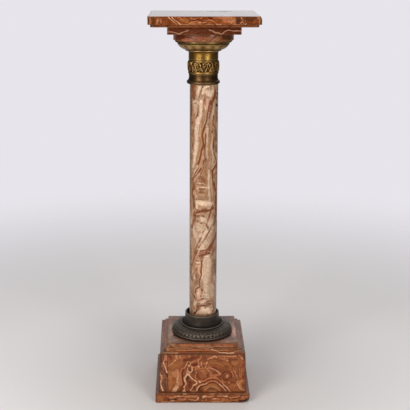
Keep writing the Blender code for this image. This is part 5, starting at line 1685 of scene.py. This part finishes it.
def top_slab():
    """Large square top: step below, canted corners, and the right edge and corner rubbed down."""
    foot, top, half = extent("top_slab")
    step_half = half - 6.4
    corners = [(step_half - 18.0, foot, 0.0), (step_half, foot - 1.2, 0.8), (step_half, foot + 5.0, 0.5),
               (half, foot + 5.5, 0.8), (half, top, 0.9), (half - 8.0, top, 0.0)]
    grid = square_grid(soft_profile(corners, 1.4, 16), 1.7, 6.2, canted=True)
    grid = break_off(grid, (half - 3.4, 0.0, top), (0.93, 0.0, 0.37), 0.25, 51)
    grid = break_off(grid, (half - 3.0, -half + 3.0, top - 3.0), (0.62, -0.62, 0.48), 0.35, 52)
    grid = nick_arrises(grid, 0.9, 27)
    rng = np.random.default_rng(23)
    face = flat_place(Z, top)
    veins = drawn(TOP_FRONT_VEINS, flat_place(Y, -half)) + other_sides(rng, half, foot, top, 12, 2)
    veins += drawn(TOP_FACE_VEINS, face)
    veins += wandering(rng, face, (-half, -half), (half, half), 26, 2, ("cream", "pink", "tan", "rust"))

    # Painted shade on the step under the slab, and darker towards its left and right ends.
    def dirt_and_shade(points):
        x, _, z = points.T
        return np.maximum(0.3 * ramp(z, foot + 6.5, foot + 5.0), 0.6 * ramp(abs(x), half - 7.0, half - 1.0))

    def gloss(points):
        return ramp(points[:, 2], top - 0.6, top - 0.05)

    stone_skin("top_slab_stone", "top_slab", grid, veins, brown_onyx, dirt_and_shade, seed=39,
               gloss=gloss)


# Stage, light and camera

# The floor's colour near the column is darker: painted shade round its foot; further out it turns pale
# towards the surroundings.
FLOOR_SHADED_NEAR = (219, 217, 216)
FLOOR_FAR = (243, 241, 241)
FLOOR_SHADE = (0.15, 0.75)   # metres from the column over which the floor goes from near to far
FLOOR_FADE = (0.8, 2.4)      # metres from the column over which the floor fades away
FLOOR_HEIGHT = -0.0004       # metres; just under the plinth, so that the two don't flicker
SURROUND = (231, 229, 235)
SKY_COLOUR = (244, 244, 248)
BEHIND_LIGHT = 0.76
ABOVE_LIGHT = 0.50
SIDE_LIGHT = 0.10
FRONT_LIGHT = 0.06
LAMP_COLOUR = (255, 250, 244)
AIM_HEIGHT = 0.6             # metres up the column at which the lights aim
CAMERA_PLACE = (-0.0501, -2.4259, 1.2013)
CAMERA_TIP = 15.1914         # degrees below level
LENS, SENSOR = 78.59, 36.0   # focal length and sensor width in millimetres
FRAME_WIDTH = 410.0          # pixels across the photo's frame
LENS_AXIS_COLUMN = 184.81    # pixel column of the lens axis in that frame


def pale_floor():
    """A wide round floor, painted darker near the column as shade round its foot, that fades into the pale
    surroundings behind the column.
    """
    rings, sides, reach = 24, 96, 3.0
    radius = np.linspace(reach / rings, reach, rings)[:, None]
    angle = np.linspace(0.0, 2.0 * math.pi, sides, endpoint=False)[None, :]
    x, y = radius * np.cos(angle), radius * np.sin(angle)
    points = np.stack([x, y, np.full(x.shape, FLOOR_HEIGHT)], axis=-1).reshape(-1, 3)
    points = np.concatenate([points, [(0.0, 0.0, FLOOR_HEIGHT)]])
    index = np.arange(rings * sides).reshape(rings, sides)
    inner, outer = index[:-1], index[1:]
    quads = np.stack([inner, outer, np.roll(outer, -1, 1), np.roll(inner, -1, 1)], axis=-1).reshape(-1, 4)
    fan = np.stack([np.full(sides, rings * sides), index[0], np.roll(index[0], -1)], axis=-1)
    mesh = bpy.data.meshes.new("pale_floor")
    mesh.from_pydata(points, [], quads.tolist() + fan.tolist())
    floor = bpy.data.objects.new("pale_floor", mesh)
    bpy.context.scene.collection.objects.link(floor)
    material, tree, shader = new_material("pale_floor")
    place = node(tree, "ShaderNodeTexCoord").outputs["Object"]
    distance = node(tree, "ShaderNodeVectorMath", {0: place}, operation="LENGTH").outputs["Value"]
    colour = mix(tree, step(tree, distance, *FLOOR_SHADE), tone(*FLOOR_SHADED_NEAR), tone(*FLOOR_FAR))
    tree.links.new(colour, shader.inputs["Base Color"])
    shader.inputs["Roughness"].default_value = 0.9
    clear = node(tree, "ShaderNodeBsdfTransparent")
    fade = node(tree, "ShaderNodeMixShader", {0: step(tree, distance, *FLOOR_FADE), 1: shader.outputs[0],
                                              2: clear.outputs[0]})
    tree.links.new(fade.outputs[0], tree.nodes["Material Output"].inputs["Surface"])
    mesh.materials.append(material)


def surroundings():
    """Pale to the camera; as light, bright behind the column, dim beside and before it."""
    world = bpy.data.worlds.new("surroundings")
    bpy.context.scene.world = world
    world.use_nodes = True
    tree = world.node_tree
    tree.nodes.clear()
    way = node(tree, "ShaderNodeTexCoord").outputs["Generated"]
    parts = node(tree, "ShaderNodeSeparateXYZ", {0: way}).outputs
    behind = step(tree, parts[1], 0.72, 0.93, 0.0, BEHIND_LIGHT)
    behind = times(tree, behind, step(tree, parts[0], -0.14, 0.14, 0.94, 1.10))
    beside = step(tree, parts[1], -0.8, 0.2, FRONT_LIGHT, SIDE_LIGHT)
    above = step(tree, parts[2], 0.2, 1.0, 0.0, ABOVE_LIGHT)
    strength = plus(tree, plus(tree, behind, above), beside)
    seen = node(tree, "ShaderNodeBackground", {"Color": tone(*SURROUND), "Strength": 1.0})
    lit = node(tree, "ShaderNodeBackground", {"Color": tone(*SKY_COLOUR), "Strength": strength})
    camera_ray = node(tree, "ShaderNodeLightPath").outputs["Is Camera Ray"]
    both = node(tree, "ShaderNodeMixShader", {0: camera_ray, 1: lit.outputs[0], 2: seen.outputs[0]})
    output = node(tree, "ShaderNodeOutputWorld")
    tree.links.new(both.outputs[0], output.inputs["Surface"])


def softbox(name, azimuth, distance, height, width, tall, power):
    """A large soft light, width by tall, at that azimuth (0 in front of the column, positive to the right)
    and aimed at it. Measures are in metres and the power in watts."""
    light = bpy.data.lights.new(name, "AREA")
    light.shape = "RECTANGLE"
    light.size, light.size_y = width, tall
    light.energy = power
    light.color = tone(*LAMP_COLOUR)[:3]
    lamp = bpy.data.objects.new(name, light)
    turn = math.radians(azimuth)
    lamp.location = (distance * math.sin(turn), -distance * math.cos(turn), height)
    tilt = math.atan2(distance, height - AIM_HEIGHT)
    lamp.rotation_euler = (tilt, 0.0, turn)
    lamp.visible_camera = False
    bpy.context.scene.collection.objects.link(lamp)


def camera():
    """The photo's view: square to the front, tipped down, and shifted sideways."""
    view = bpy.data.cameras.new("camera")
    view.sensor_width = SENSOR
    view.lens = LENS
    view.shift_x = (FRAME_WIDTH / 2.0 - LENS_AXIS_COLUMN) / FRAME_WIDTH
    view.clip_end = 60.0
    holder = bpy.data.objects.new("camera", view)
    holder.location = CAMERA_PLACE
    holder.rotation_euler = (math.radians(90.0 - CAMERA_TIP), 0.0, 0.0)
    bpy.context.scene.collection.objects.link(holder)
    bpy.context.scene.camera = holder


plinth_foot()
plinth_die()
plinth_cap()
dark_ring()
shaft()
collar()
leaf_band()
bowl()
top_disc()
under_slab()
top_slab()
pale_floor()
surroundings()
softbox("left_softbox", -38.0, 2.3, 1.35, 1.1, 1.9, 38.0)
softbox("right_softbox", 31.0, 2.3, 1.35, 0.9, 1.9, 25.0)
softbox("back_softbox", 168.0, 2.4, 1.9, 1.8, 0.9, 8.0)
camera()
bpy.context.scene.view_settings.view_transform = "Standard"
